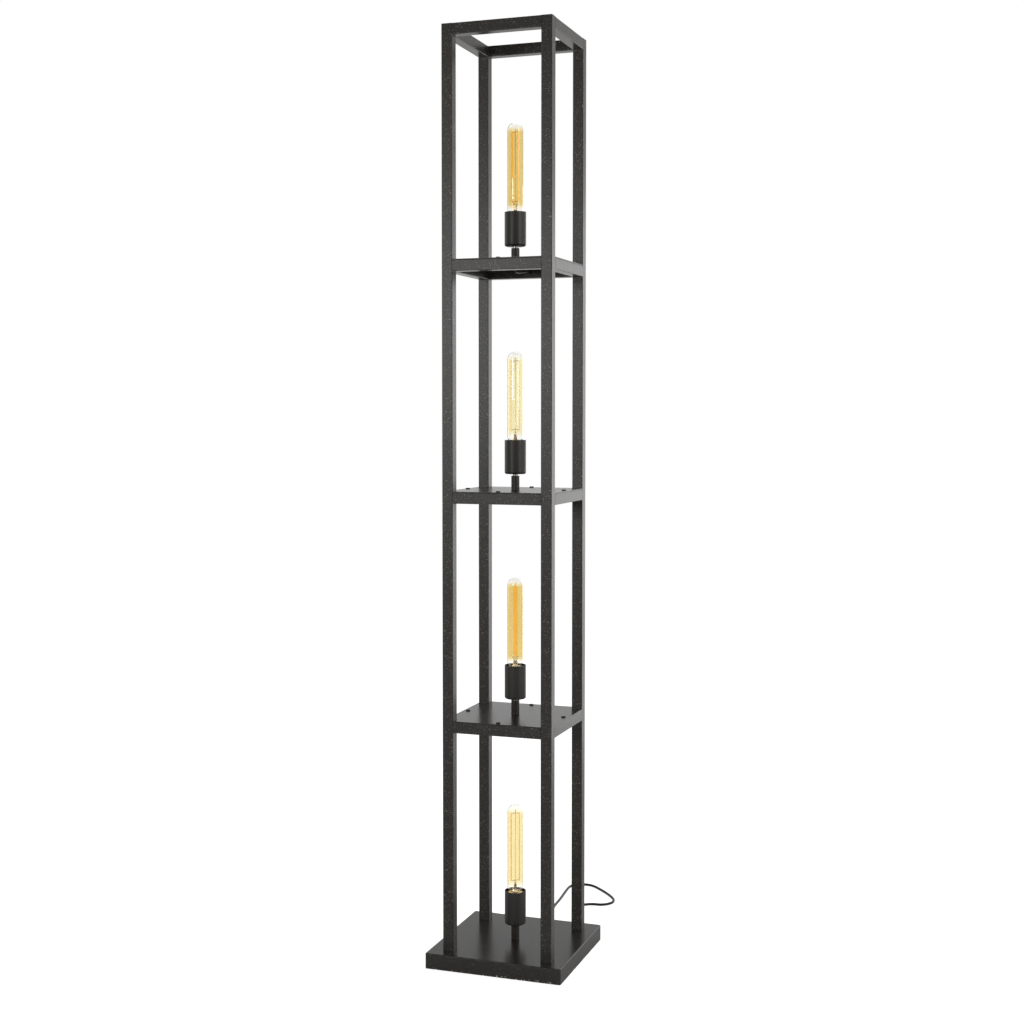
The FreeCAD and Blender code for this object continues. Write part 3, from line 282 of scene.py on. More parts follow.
@dataclass(frozen=True)
class AmberGlass:
    """Drawn soda-lime glass with a thin amber tint, which stops short of the dome and of the neck.

    It is clear and glossy. tint_low, tint_high and fade are shares of the way up.
    """

    name: str
    amber: str
    clear: str = "#fdfdfb"
    roughness: float = 0.02
    ior: float = 1.47
    tint_low: float = 0.075
    tint_high: float = 0.925
    fade: float = 0.03

    def build(self) -> bpy.types.Material:
        """Builds the material."""
        material, tree, output = new_material(self.name)
        along = add_node(tree, "ShaderNodeUVMap", {"uv_map": "height"}).outputs["UV"]
        height = add_node(tree, "ShaderNodeSeparateXYZ", inputs={0: along}).outputs["Y"]
        rise = add_node(tree, "ShaderNodeMapRange", inputs={
            "Value": height, "From Min": self.tint_low - self.fade,
            "From Max": self.tint_low + self.fade}).outputs[0]
        fall = add_node(tree, "ShaderNodeMapRange", inputs={
            "Value": height, "From Min": self.tint_high + self.fade,
            "From Max": self.tint_high - self.fade}).outputs[0]
        amount = add_node(tree, "ShaderNodeMath", {"operation": "MULTIPLY"}, {0: rise, 1: fall}).outputs[0]
        colour = add_node(tree, "ShaderNodeMix", {"data_type": "RGBA"}, {
            "Factor": amount, COLOUR_A: linear(self.clear),
            COLOUR_B: linear(self.amber)}).outputs[COLOUR_OUT]
        shader = add_node(tree, "ShaderNodeBsdfPrincipled", inputs={
            "Base Color": colour, "Roughness": self.roughness, "IOR": self.ior, "Transmission Weight": 1.0})
        tree.links.new(shader.outputs[0], output.inputs["Surface"])
        return material


@dataclass(frozen=True)
class ClearGlass:
    """Clear drawn glass of the pillar inside a bulb: smooth, with a painted warm cast for the amber light
    around it.
    """

    name: str = "clear_glass"
    # Painted warm cast: the pillar itself is clear glass.
    colour: str = "#f2e2b8"
    roughness: float = 0.05
    ior: float = 1.47

    def build(self) -> bpy.types.Material:
        """Builds the material."""
        material, tree, output = new_material(self.name)
        shader = add_node(tree, "ShaderNodeBsdfPrincipled", inputs={
            "Base Color": linear(self.colour), "Roughness": self.roughness, "IOR": self.ior,
            "Transmission Weight": 1.0})
        tree.links.new(shader.outputs[0], output.inputs["Surface"])
        return material


@dataclass(frozen=True)
class Phosphor:
    """Yellow-orange phosphor resin cast on the filament strips.

    It is matte, with a painted glow: an emission, though no lamp is lit in the bulb, that makes it brighter
    than its colour alone and stands in for the light it scatters inside the glass.
    """

    name: str = "filament_phosphor"
    colour: str = "#f6c766"
    roughness: float = 0.6
    # Strength of the painted glow: the strips shine though the bulb gives no light.
    glow: float = 0.5

    def build(self) -> bpy.types.Material:
        """Builds the material."""
        material, tree, output = new_material(self.name)
        shader = add_node(tree, "ShaderNodeBsdfPrincipled", inputs={
            "Base Color": linear(self.colour), "Roughness": self.roughness,
            "Emission Color": linear(self.colour), "Emission Strength": self.glow})
        tree.links.new(shader.outputs[0], output.inputs["Surface"])
        return material


Finish = PowderCoat | Satin | AmberGlass | ClearGlass | Phosphor


def built(finish: Finish) -> Any:
    """Declares a dataclass field that holds a finish's material.

    Args:
        finish: The finish.

    Returns:
        The field. Its material is built with the object that holds it.
    """
    return field(default_factory=finish.build)


@dataclass
class Finishes:
    """The materials, each built once."""

    # The coat of the posts, rails and plates, and the same on the base.
    coat: bpy.types.Material = built(PowderCoat())
    base_coat: bpy.types.Material = built(EdgeSpottedPowderCoat())
    # Steel blackened in a hot bath: an even black with a low sheen.
    black_oxide: bpy.types.Material = built(Satin("black_oxide_steel", "#1f1e1d", 0.38))
    # Lacquer sprayed on drawn steel: smooth charcoal, a little lighter than the coat.
    lacquer: bpy.types.Material = built(Satin("charcoal_lacquer_on_steel", "#37332d", 0.42))
    # Iron as it comes from the mould: dull grey.
    iron: bpy.types.Material = built(Satin("raw_cast_iron", "#4a4644", 0.7))
    # Bright zinc plating on turned steel: pale, with a soft mirror.
    zinc: bpy.types.Material = built(Satin("zinc_plated_steel", "#b9b8b4", 0.35, metallic=1.0))
    # Drawn brass: yellow and bright.
    brass: bpy.types.Material = built(Satin("drawn_brass", "#dcae5c", 0.25, metallic=1.0))
    # Steatite, pressed, fired and glazed: brown and glossy.
    ceramic: bpy.types.Material = built(Satin("brown_glazed_steatite", "#a87c45", 0.3))
    # Soft PVC, extruded over the wires: black with a low sheen.
    pvc: bpy.types.Material = built(Satin("black_pvc_cord", "#161616", 0.42))
    # Hard plastic, moulded: black, a little glossier than the cord.
    plastic: bpy.types.Material = built(Satin("black_moulded_plastic", "#1a1a1b", 0.33))
    # Rubber, moulded: matte black.
    rubber: bpy.types.Material = built(Satin("black_rubber_pad", "#1c1c1c", 0.8))
    # Nickel plating on turned brass: pale, warm and glossy.
    nickel: bpy.types.Material = built(Satin("nickel_plated_brass", "#c9c6bf", 0.22, metallic=1.0))
    # The bulbs' tint in three depths, because it isn't the same in all four.
    amber_pale: bpy.types.Material = built(AmberGlass("amber_tinted_glass_pale", amber="#faf5dc"))
    amber: bpy.types.Material = built(AmberGlass("amber_tinted_glass", amber="#f4ebcb"))
    amber_deep: bpy.types.Material = built(AmberGlass("amber_tinted_glass_deep", amber="#efe0b0"))
    clear: bpy.types.Material = built(ClearGlass())
    phosphor: bpy.types.Material = built(Phosphor())
    # Drawn wire, browned by the flame that sealed it in: a dull gold shine.
    wire: bpy.types.Material = built(Satin("nickel_iron_wire", "#b58a3a", 0.3, metallic=1.0))


# Modelling helpers --------------------------------------------------------------------------------


def deselect() -> None:
    """Leaves edit mode if needed and deselects every object."""
    if bpy.context.object is not None and bpy.context.object.mode != "OBJECT":
        bpy.ops.object.mode_set(mode="OBJECT")
    bpy.ops.object.select_all(action="DESELECT")


def only(*pieces: bpy.types.Object) -> None:
    """Makes pieces the only selected ones, and the first of them the active one.

    Args:
        pieces: The objects.
    """
    deselect()
    for piece in pieces:
        piece.select_set(True)
    bpy.context.view_layer.objects.active = pieces[0]


def apply_place(piece: bpy.types.Object) -> None:
    """Puts a piece's place, turn and size into its mesh.

    Args:
        piece: The mesh object.
    """
    only(piece)
    bpy.ops.object.transform_apply(location=True, rotation=True, scale=True)


def apply_modifiers(piece: bpy.types.Object) -> None:
    """Applies every modifier of a piece.

    Args:
        piece: The mesh object.
    """
    only(piece)
    for modifier in list(piece.modifiers):
        bpy.ops.object.modifier_apply(modifier=modifier.name)


def smooth(piece: bpy.types.Object, angle_deg: float) -> None:
    """Shades a piece smooth, apart from its sharp edges.

    Args:
        piece: The mesh object.
        angle_deg: Edges that turn more than this stay sharp.
    """
    only(piece)
    bpy.ops.object.shade_smooth_by_angle(angle=math.radians(angle_deg))


def join(pieces: list[bpy.types.Object]) -> bpy.types.Object:
    """Joins pieces into the first one.

    Args:
        pieces: Mesh objects.

    Returns:
        The joined object, with its place in its mesh.
    """
    only(*pieces)
    bpy.ops.object.join()
    piece = bpy.context.object
    apply_place(piece)
    return piece


def twin(piece: bpy.types.Object, turn_deg: float = 0.0, rise: float = 0.0) -> bpy.types.Object:
    """Copies a piece with its own mesh, turned about the tower's middle axis and lifted.

    Args:
        piece: A mesh object with its place in its mesh.
        turn_deg: Turn of the copy.
        rise: Lift of the copy.

    Returns:
        The copy, with its place in its mesh.
    """
    only(piece)
    bpy.ops.object.duplicate(linked=False)
    copy = bpy.context.object
    copy.rotation_euler.z = math.radians(turn_deg)
    copy.location.z = rise
    apply_place(copy)
    return copy


def turned(profile: list[tuple[float, float]], segments: int, foot: float,
           capped: bool = True) -> bpy.types.Object:
    """Models a turned shape on the tower's middle axis, from a ring that is extruded and scaled step by step.

    Args:
        profile: (radius, height) of each ring, from the bottom up. A last radius of 0 closes the top.
        segments: Points of a ring.
        foot: Height of the profile's 0.
        capped: Whether the first ring is filled.

    Returns:
        The mesh object.
    """
    deselect()
    radius, height = profile[0]
    bpy.ops.mesh.primitive_circle_add(vertices=segments, radius=radius, location=(0, 0, foot + height),
                                      fill_type="NGON" if capped else "NOTHING")
    piece = bpy.context.object
    bpy.ops.object.mode_set(mode="EDIT")
    bpy.ops.mesh.select_mode(type="EDGE")
    bpy.ops.mesh.select_all(action="SELECT")
    for step, (next_radius, next_height) in enumerate(profile[1:]):
        rise = {"value": (0, 0, next_height - height)}
        if capped and step == 0:
            bpy.ops.mesh.extrude_region_move(TRANSFORM_OT_translate=rise)
        else:
            bpy.ops.mesh.extrude_edges_move(TRANSFORM_OT_translate=rise)
        if next_radius > 0:
            share = next_radius / radius
            bpy.ops.transform.resize(value=(share, share, 1), center_override=(0, 0, foot + next_height))
            radius = next_radius
        else:
            bpy.ops.mesh.merge(type="CENTER")
        height = next_height
    bpy.ops.mesh.select_all(action="SELECT")
    bpy.ops.mesh.normals_make_consistent(inside=False)
    bpy.ops.object.mode_set(mode="OBJECT")
    apply_place(piece)
    return piece


def height_map(piece: bpy.types.Object, low: float, high: float) -> None:
    """Gives a piece a UV map whose V is the share of the way up and whose U is the same all over.

    Args:
        piece: The mesh object.
        low: Height where V is 0.
        high: Height where V is 1.
    """
    layer = piece.data.uv_layers.new(name="height")
    for loop in piece.data.loops:
        z = piece.data.vertices[loop.vertex_index].co.z
        layer.data[loop.index].uv = (0.5, (z - low) / (high - low))


def top_of(piece: bpy.types.Object) -> float:
    """The height of a solid's highest point."""
    return max(corner[2] for corner in piece.bound_box)


def paint(piece: bpy.types.Object, material: bpy.types.Material) -> None:
    """Gives a piece its one finish.

    Args:
        piece: The object.
        material: The finish.
    """
    piece.data.materials.clear()
    piece.data.materials.append(material)


def dress(nodes: Nodes, names: tuple[str, ...], material: bpy.types.Material) -> list[bpy.types.Object]:
    """Gives solids a finish.

    Args:
        nodes: The frame's nodes.
        names: Names of the solids.
        material: The finish.

    Returns:
        The dressed solids.
    """
    for name in names:
        paint(nodes[name], material)
    return [nodes[name] for name in names]


# Camera -------------------------------------------------------------------------------------------


@dataclass
class PhotoCamera:
    """The camera of the photo, worked out from the tower's edges."""

    distance: float = 2.850
    azimuth_deg: float = 19.2304
    height: float = 1.000
    yaw_deg: float = 19.3535
    pitch_deg: float = 2.6795
    focal_px: float = 1566.717
    frame_px: float = 1024.0
    axis_row: float = 485.0
    sensor_mm: float = 36.0
    far: float = 50.0

    def build(self) -> None:
        """Makes the camera."""
        azimuth = math.radians(self.azimuth_deg)
        deselect()
        bpy.ops.object.camera_add(
            location=(self.distance * math.sin(azimuth), -self.distance * math.cos(azimuth), self.height),
            rotation=(math.radians(90 - self.pitch_deg), 0, math.radians(self.yaw_deg)))
        camera = bpy.context.object
        camera.name = "photo_camera"
        camera.data.sensor_width = self.sensor_mm
        camera.data.lens = self.focal_px * self.sensor_mm / self.frame_px
        camera.data.shift_y = (self.axis_row - self.frame_px / 2) / self.frame_px
        camera.data.clip_end = self.far
        bpy.context.scene.camera = camera


# Cord ---------------------------------------------------------------------------------------------


@dataclass
class CordRun:
    """The black cord outside the lamp, with its relief, switch, tie and plug.

    It has two stretches: to the switch, and on through the hank to the plug. Where it lies on the floor its
    middle is at the height called floor. The hank is a flat coil of long loops that the tie draws in at the
    waist. It winds inwards for turns_in, climbs on to itself over climb_turn, and winds out again for
    turns_out.
    """

    diameter: float = 0.005
    floor: float = 0.0025
    to_switch: tuple[Point, ...] = (
        (0.0, 0.1575, 0.016), (0.0, 0.173, 0.016), (-0.003, 0.195, 0.0115), (-0.007, 0.221, 0.0046),
        (-0.0115, 0.251, 0.0025), (-0.016, 0.289, 0.0025), (-0.018, 0.336, 0.0025), (-0.023, 0.384, 0.0025),
        (-0.0255, 0.431, 0.0025), (0.0115, 0.447, 0.0025), (0.043, 0.419, 0.0025), (0.072, 0.387, 0.0025),
        (0.089, 0.3606, 0.0025), (0.0895, 0.3377, 0.0025), (0.0735, 0.3213, 0.0025),
        (0.0534, 0.3213, 0.0025), (0.0395, 0.312, 0.0025))
    to_hank: tuple[Point, ...] = (
        (0.0605, 0.190, 0.0025), (0.050, 0.174, 0.0025), (0.030, 0.1685, 0.0025), (0.009, 0.176, 0.0025))
    to_plug: tuple[Point, ...] = ((-0.007, 0.137, 0.0036), (0.005, 0.1455, 0.0040))
    switch_place: tuple[float, float] = (0.0465, 0.2515)
    switch_heading: tuple[float, float] = (0.289, -0.957)
    switch_half: float = 0.030
    switch_approach: float = 0.015
    cord_height_at_switch: float = 0.005
    hank_approach: float = 0.016
    hank_leave: float = 0.012
    plug_place: Point = (0.027, 0.1485, 0.00685)
    plug_approach: float = 0.011
    hank_middle: tuple[float, float] = (-0.0735, 0.1575)
    hank_run: float = 0.075
    hank_inner: float = 0.0153
    hank_step: float = 0.0061
    hank_layer: float = 0.0057
    hank_draw: float = 0.009
    hank_lift: float = 0.002
    turns_in: float = 2.0
    climb_turn: float = 0.25
    turns_out: float = 1.5
    points_per_turn: int = 24
    end_gap_turns: float = 1e-9
    lengths: tuple[float, float] = (0.537, 1.268)
    spline_order: int = 3
    steps_per_point: int = 8
    round_steps: int = 5
    sheathed: tuple[str, ...] = ("cord_end",)
    moulded: tuple[str, ...] = ("cord_relief", "hank_tie", "switch_housing", "switch_rocker", "plug_body")
    nickel_plated: tuple[str, ...] = ("plug_pins",)

    def hank_point(self, turn: float) -> Point:
        """A point of the hank's centre line.

        Args:
            turn: Turns from the hank's start.

        Returns:
            The point.
        """
        climb_end = self.turns_in + self.climb_turn
        share = max(0.0, min(1.0, (turn - self.turns_in) / self.climb_turn))
        if turn < climb_end:
            radius = self.hank_inner + self.hank_step * (self.turns_in - min(turn, self.turns_in))
        else:
            radius = self.hank_inner + self.hank_step * (turn - climb_end)
        z = self.floor + self.hank_layer * share * share * (3 - 2 * share)
        quarter = 4 * (turn % 1.0)
        side = self.hank_run / 2
        # A turn is a straight run, a round end, the run back and the other end.
        if quarter < 1 or 2 <= quarter < 3:
            sign = 1 if quarter < 1 else -1
            x = sign * side * (1 - 2 * (quarter % 1.0))
            waist = (1 + math.cos(2 * math.pi * x / self.hank_run)) / 2
            y = sign * (radius - self.hank_draw * waist)
            z += self.hank_lift * waist
        else:
            sign = -1 if quarter < 2 else 1
            angle = math.pi * (quarter % 1.0)
            x = sign * (side + radius * math.sin(angle))
            y = -sign * radius * math.cos(angle)
        return self.hank_middle[0] + x, self.hank_middle[1] + y, z

    def hank_points(self) -> list[Point]:
        """The hank's control points, from its start to its end."""
        total = self.turns_in + self.climb_turn + self.turns_out
        count = round(total * self.points_per_turn)
        last = total - self.end_gap_turns
        return [self.hank_point(min(total * k / count, last)) for k in range(count + 1)]

    def switch_ends(self) -> tuple[Vector, Vector, Vector]:
        """Where the cord meets the switch's far and near end, and its heading there."""
        heading = Vector((*self.switch_heading, 0)).normalized()
        centre = Vector((*self.switch_place, self.cord_height_at_switch))
        return centre - heading * self.switch_half, centre + heading * self.switch_half, heading

    def curve(self, name: str, points: list[Point], material: bpy.types.Material) -> bpy.types.Object:
        """Makes a round cord along a smooth spline.

        Args:
            name: The piece's name.
            points: Control points.
            material: The finish.

        Returns:
            The curve object.
        """
        data = bpy.data.curves.new(name, "CURVE")
        data.dimensions = "3D"
        spline = data.splines.new("NURBS")
        spline.points.add(len(points) - 1)
        for knot, point in zip(spline.points, points):
            knot.co = (*point, 1.0)
        spline.order_u = self.spline_order
        spline.use_endpoint_u = True
        spline.resolution_u = self.steps_per_point
        data.bevel_depth = self.diameter / 2
        data.bevel_resolution = self.round_steps
        data.use_fill_caps = True
        data.materials.append(material)
        piece = bpy.data.objects.new(name, data)
        bpy.context.scene.collection.objects.link(piece)
        return piece

    def build(self, nodes: Nodes, finishes: Finishes) -> list[bpy.types.Object]:
        """Makes both stretches, attaches them to the lamp's body, and dresses the solids on them.

        Args:
            nodes: The frame's nodes.
            finishes: The materials.

        Returns:
            The pieces.
        """
        far, near, heading = self.switch_ends()
        reach = heading * self.switch_approach
        first = [*self.to_switch, tuple(far - reach), tuple(far)]
        lamp_side = self.curve("cord_to_switch", first, finishes.pvc)
        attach(lamp_side, LAMP_BODY)
        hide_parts("cord_lamp_side")
        hank = self.hank_points()
        before = (hank[0][0] + self.diameter + self.hank_approach, hank[0][1], hank[0][2])
        after = (hank[-1][0] + self.diameter + self.hank_leave, hank[-1][1], hank[-1][2])
        plug = Vector(self.plug_place)
        second = [tuple(near), tuple(near + reach), *self.to_hank, before, *hank, after, *self.to_plug,
                  tuple(plug - Vector((self.plug_approach, 0, 0))), tuple(plug)]
        plug_side = self.curve("cord_to_plug", second, finishes.pvc)
        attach(plug_side, LAMP_BODY)
        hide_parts("cord_middle", "cord_hank", "cord_plug_side")
        return [lamp_side, plug_side, *dress(nodes, self.sheathed, finishes.pvc),
                *dress(nodes, self.moulded, finishes.plastic),
                *dress(nodes, self.nickel_plated, finishes.nickel)]


# Lamp ---------------------------------------------------------------------------------------------


@dataclass
class Tower:
    """Posts, rails and shelf plates, with their screws, bolts and threaded bars."""

    coated: tuple[str, ...] = (
        "post_front_left", "post_front_right", "post_back_left", "post_back_right", "post_caps", "top_rails",
        "upper_shelf_rails", "middle_shelf_rails", "lower_shelf_rails", "upper_shelf_plate",
        "middle_shelf_plate", "lower_shelf_plate")
    blackened: tuple[str, ...] = ("shelf_screws", "post_bolts", "post_bar_nuts")

    def build(self, nodes: Nodes, finishes: Finishes) -> list[bpy.types.Object]:
        """Dresses the solids.

        Args:
            nodes: The frame's nodes.
            finishes: The materials.

        Returns:
            The dressed solids.
        """
        return [*dress(nodes, self.coated, finishes.coat),
                *dress(nodes, self.blackened, finishes.black_oxide)]


@dataclass
class Base:
    """The folded cover with its ballast, bottom plate and feet, and the wiring that starts in it."""

    cover: tuple[str, ...] = ("base_cover",)
    ballast: tuple[str, ...] = ("base_ballast",)
    blackened: tuple[str, ...] = ("base_screws", "base_bottom_plate")
    feet: tuple[str, ...] = ("base_feet",)
    terminals: tuple[str, ...] = ("terminal_block",)
    leads: tuple[str, ...] = ("inner_leads",)

    def build(self, nodes: Nodes, finishes: Finishes) -> list[bpy.types.Object]:
        """Dresses the solids.

        Args:
            nodes: The frame's nodes.
            finishes: The materials.

        Returns:
            The dressed solids.
        """
        return [*dress(nodes, self.cover, finishes.base_coat), *dress(nodes, self.ballast, finishes.iron),
                *dress(nodes, self.blackened, finishes.black_oxide),
                *dress(nodes, self.feet, finishes.rubber),
                *dress(nodes, self.terminals, finishes.plastic), *dress(nodes, self.leads, finishes.pvc)]


@dataclass
class Holders:
    """The four holders: stem, cup, insulating insert and contacts, on a threaded pipe with a locknut."""

    lacquered: tuple[str, ...] = tuple(f"{part}_{k}" for k in range(1, len(Level) + 1)
                                       for part in ("holder_shell", "stem"))
    glazed: tuple[str, ...] = tuple(f"socket_insert_{k}" for k in range(1, len(Level) + 1))
    zinc_plated: tuple[str, ...] = ("threaded_pipes", "pipe_locknuts")
    contacts: tuple[str, ...] = ("socket_contacts",)

    def build(self, nodes: Nodes, finishes: Finishes) -> list[bpy.types.Object]:
        """Dresses the solids.

        Args:
            nodes: The frame's nodes.
            finishes: The materials.

        Returns:
            The dressed solids.
        """
        return [*dress(nodes, self.lacquered, finishes.lacquer), *dress(nodes, self.glazed, finishes.ceramic),
                *dress(nodes, self.zinc_plated, finishes.zinc), *dress(nodes, self.contacts, finishes.brass)]


@dataclass
class Bulbs:
    """Four tubular bulbs: amber glass, a glass pillar with wires, and two filament strips in each.

    Each piece is modelled once, for a level at height 0, and copied to the four levels. cap_top and top are
    heights above the level. The strips stand across the axis from each other, strip_low above the cap, and
    each bulb's strips and wires are turned by its own angle of turns_deg.
    """

    turns_deg: tuple[float, ...] = (34.0, -61.0, 14.0, -22.0)
    cap_top: float = 88.3 * MM
    top: float = 251.0 * MM
    radius: float = 14.6 * MM
    neck_radius: float = 12.0 * MM
    neck_length: float = 7.0 * MM
    neck_step: float = 0.5 * MM
    neck_round: float = 1.5 * MM
    wall: float = 0.8 * MM
    segments: int = 64
    dome_steps: int = 12
    glass_smooth_deg: float = 60.0
    strip_width: float = 5.0 * MM
    strip_thick: float = 1.2 * MM
    strip_round: float = 0.48 * MM
    strip_round_steps: int = 3
    strip_offset: float = 7.8 * MM
    strip_low: float = 20.0 * MM
    strip_below_top: float = 16.0 * MM
    foot_radius: float = 8.0 * MM
    flare_radius: float = 4.16 * MM
    flare_height: float = 6.0 * MM
    pillar_radius: float = 2.6 * MM
    pillar_top_radius: float = 2.34 * MM
    pillar_height: float = 14.0 * MM
    pillar_round: float = 2.0 * MM
    rod_foot_radius: float = 1.5 * MM
    rod_taper: float = 3.0 * MM
    rod_radius: float = 1.0 * MM
    rod_past_strips: float = 3.0 * MM
    button_radius: float = 1.8 * MM
    button_height: float = 3.0 * MM
    pillar_segments: int = 24
    wire_radius: float = 0.45 * MM
    wire_sides: int = 8
    arm_inset: float = 1.0 * MM
    supply_offset: float = 3.6 * MM
    supply_length: float = 13.0 * MM
    supply_below_strip: float = 12.0 * MM
    loop_radius: float = 1.6 * MM
    loop_segments: int = 20
    loop_below_strip: float = 4.0 * MM
    smooth_deg: float = 50.0

    @property
    def strip_span(self) -> tuple[float, float]:
        """The heights of a strip's lower and upper end."""
        return self.cap_top + self.strip_low, self.top - self.strip_below_top

    def tube(self) -> bpy.types.Object:
        """Models the glass with its wall: a neck, a straight tube and a half-round top."""
        height = self.top - self.cap_top
        shoulder = height - self.radius
        profile = [(self.neck_radius, 0.0), (self.neck_radius + self.neck_step, self.neck_round),
                   (self.radius - self.neck_step, self.neck_length - self.neck_round),
                   (self.radius, self.neck_length), (self.radius, (self.neck_length + shoulder) / 2),
                   (self.radius, shoulder)]
        for k in range(1, self.dome_steps):
            angle = math.pi / 2 * k / self.dome_steps
            profile.append((self.radius * math.cos(angle), shoulder + self.radius * math.sin(angle)))
        profile.append((0.0, height))
        piece = turned(profile, self.segments, self.cap_top, capped=False)
        wall = piece.modifiers.new("wall", "SOLIDIFY")
        wall.thickness = self.wall
        wall.offset = -1.0
        apply_modifiers(piece)
        smooth(piece, self.glass_smooth_deg)
        height_map(piece, self.cap_top, self.top)
        return piece

    def strips(self) -> bpy.types.Object:
        """Models a filament strip with rounded edges, and its twin across the axis."""
        low, high = self.strip_span
        deselect()
        bpy.ops.mesh.primitive_cube_add(size=1.0, location=(self.strip_offset, 0, (low + high) / 2),
                                        scale=(self.strip_thick, self.strip_width, high - low))
        strip = bpy.context.object
        apply_place(strip)
        rounding = strip.modifiers.new("rounding", "BEVEL")
        rounding.width = self.strip_round
        rounding.segments = self.strip_round_steps
        apply_modifiers(strip)
        piece = join([strip, twin(strip, HALF_TURN_DEG)])
        smooth(piece, self.smooth_deg)
        return piece

    def pillar(self) -> bpy.types.Object:
        """Models the glass pillar on its flared foot, and the thin rod above it with a button at its tip."""
        rod_top = self.top - self.cap_top - self.strip_below_top + self.rod_past_strips
        profile = [(self.foot_radius, 0.0), (self.flare_radius, self.flare_height / 2),
                   (self.pillar_radius, self.flare_height),
                   (self.pillar_top_radius, self.pillar_height - self.pillar_round),
                   (self.rod_foot_radius, self.pillar_height),
                   (self.rod_radius, self.pillar_height + self.rod_taper), (self.rod_radius, rod_top),
                   (self.button_radius, rod_top + self.button_height / 2),
                   (0.0, rod_top + self.button_height)]
        piece = turned(profile, self.pillar_segments, self.cap_top)
        smooth(piece, self.smooth_deg)
        return piece

    def wire(self, length: float, middle: Point, lean: float = 0.0) -> bpy.types.Object:
        """Models a straight stretch of wire.

        Args:
            length: Its length.
            middle: Its middle.
            lean: Its turn about +Y from upright, in radians.

        Returns:
            The mesh object.
        """
        deselect()
        bpy.ops.mesh.primitive_cylinder_add(vertices=self.wire_sides, radius=self.wire_radius, depth=length,
                                            location=middle, rotation=(0, lean, 0))
        return bpy.context.object

    def wires(self) -> bpy.types.Object:
        """Models the wires of one side, and their twins across the axis.

        A side has an arm to each end of its strip, and a supply wire with a small loop beside the pillar.

        Returns:
            The mesh object.
        """
        low, high = self.strip_span
        half = self.strip_offset / 2
        made = [self.wire(self.strip_offset, (half, 0, z), math.pi / 2)
                for z in (low + self.arm_inset, high - self.arm_inset)]
        deselect()
        bpy.ops.mesh.primitive_torus_add(
            major_radius=self.loop_radius, minor_radius=self.wire_radius, major_segments=self.loop_segments,
            minor_segments=self.wire_sides, rotation=(math.pi / 2, 0, math.pi / 2),
            location=(0, -self.supply_offset, low - self.loop_below_strip))
        made.append(bpy.context.object)
        made.append(self.wire(self.supply_length, (0, -self.supply_offset, low - self.supply_below_strip)))
        side = join(made)
        piece = join([side, twin(side, HALF_TURN_DEG)])
        smooth(piece, self.smooth_deg)
        return piece

    def build(self, nodes: Nodes, finishes: Finishes) -> list[bpy.types.Object]:
        """Makes each bulb's pieces in place of its solids, and dresses its cap.

        Args:
            nodes: The frame's nodes.
            finishes: The materials.

        Returns:
            The pieces.
        """
        patterns = (self.tube(), self.strips(), self.pillar(), self.wires())
        tints = (finishes.amber, finishes.amber_deep, finishes.amber_pale, finishes.amber_deep)
        made = []
        for number, (level, turn, tint) in enumerate(zip(Level, self.turns_deg, tints), start=1):
            body = f"bulb_{number}"
            rise = top_of(nodes[level.value])
            kinds = (("tube", 0.0, tint, "amber_glass"), ("strips", turn, finishes.phosphor, "filament"),
                     ("pillar", 0.0, finishes.clear, "filament"), ("wires", turn, finishes.wire, "filament"))
            pieces = []
            for pattern, (kind, turn_deg, material, slot) in zip(patterns, kinds):
                piece = twin(pattern, turn_deg, rise)
                piece.name = f"{body}_{kind}"
                piece.data.name = piece.name
                paint(piece, material)
                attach(piece, body)
                pieces.append(piece)
            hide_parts(f"bulb_glass_{number}")
            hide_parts(f"bulb_filament_{number}")
            made += [*pieces, *dress(nodes, (f"bulb_cap_{number}",), finishes.brass)]
        only(*patterns)
        bpy.ops.object.delete()
        return made


# Studio -------------------------------------------------------------------------------------------


@dataclass(frozen=True)
class SoftLight:
    """A rectangular soft light."""

    name: str
    place: Point
    target: Point
    size: tuple[float, float]
    watts: float

    def build(self) -> None:
        """Makes the light and turns it to its target."""
        deselect()
        bpy.ops.object.light_add(type="AREA", location=self.place)
        light = bpy.context.object
        light.name = self.name
        light.data.shape = "RECTANGLE"
        light.data.size, light.data.size_y = self.size
        light.data.energy = self.watts
        heading = Vector(self.target) - Vector(self.place)
        light.rotation_euler = heading.to_track_quat("-Z", "Y").to_euler()


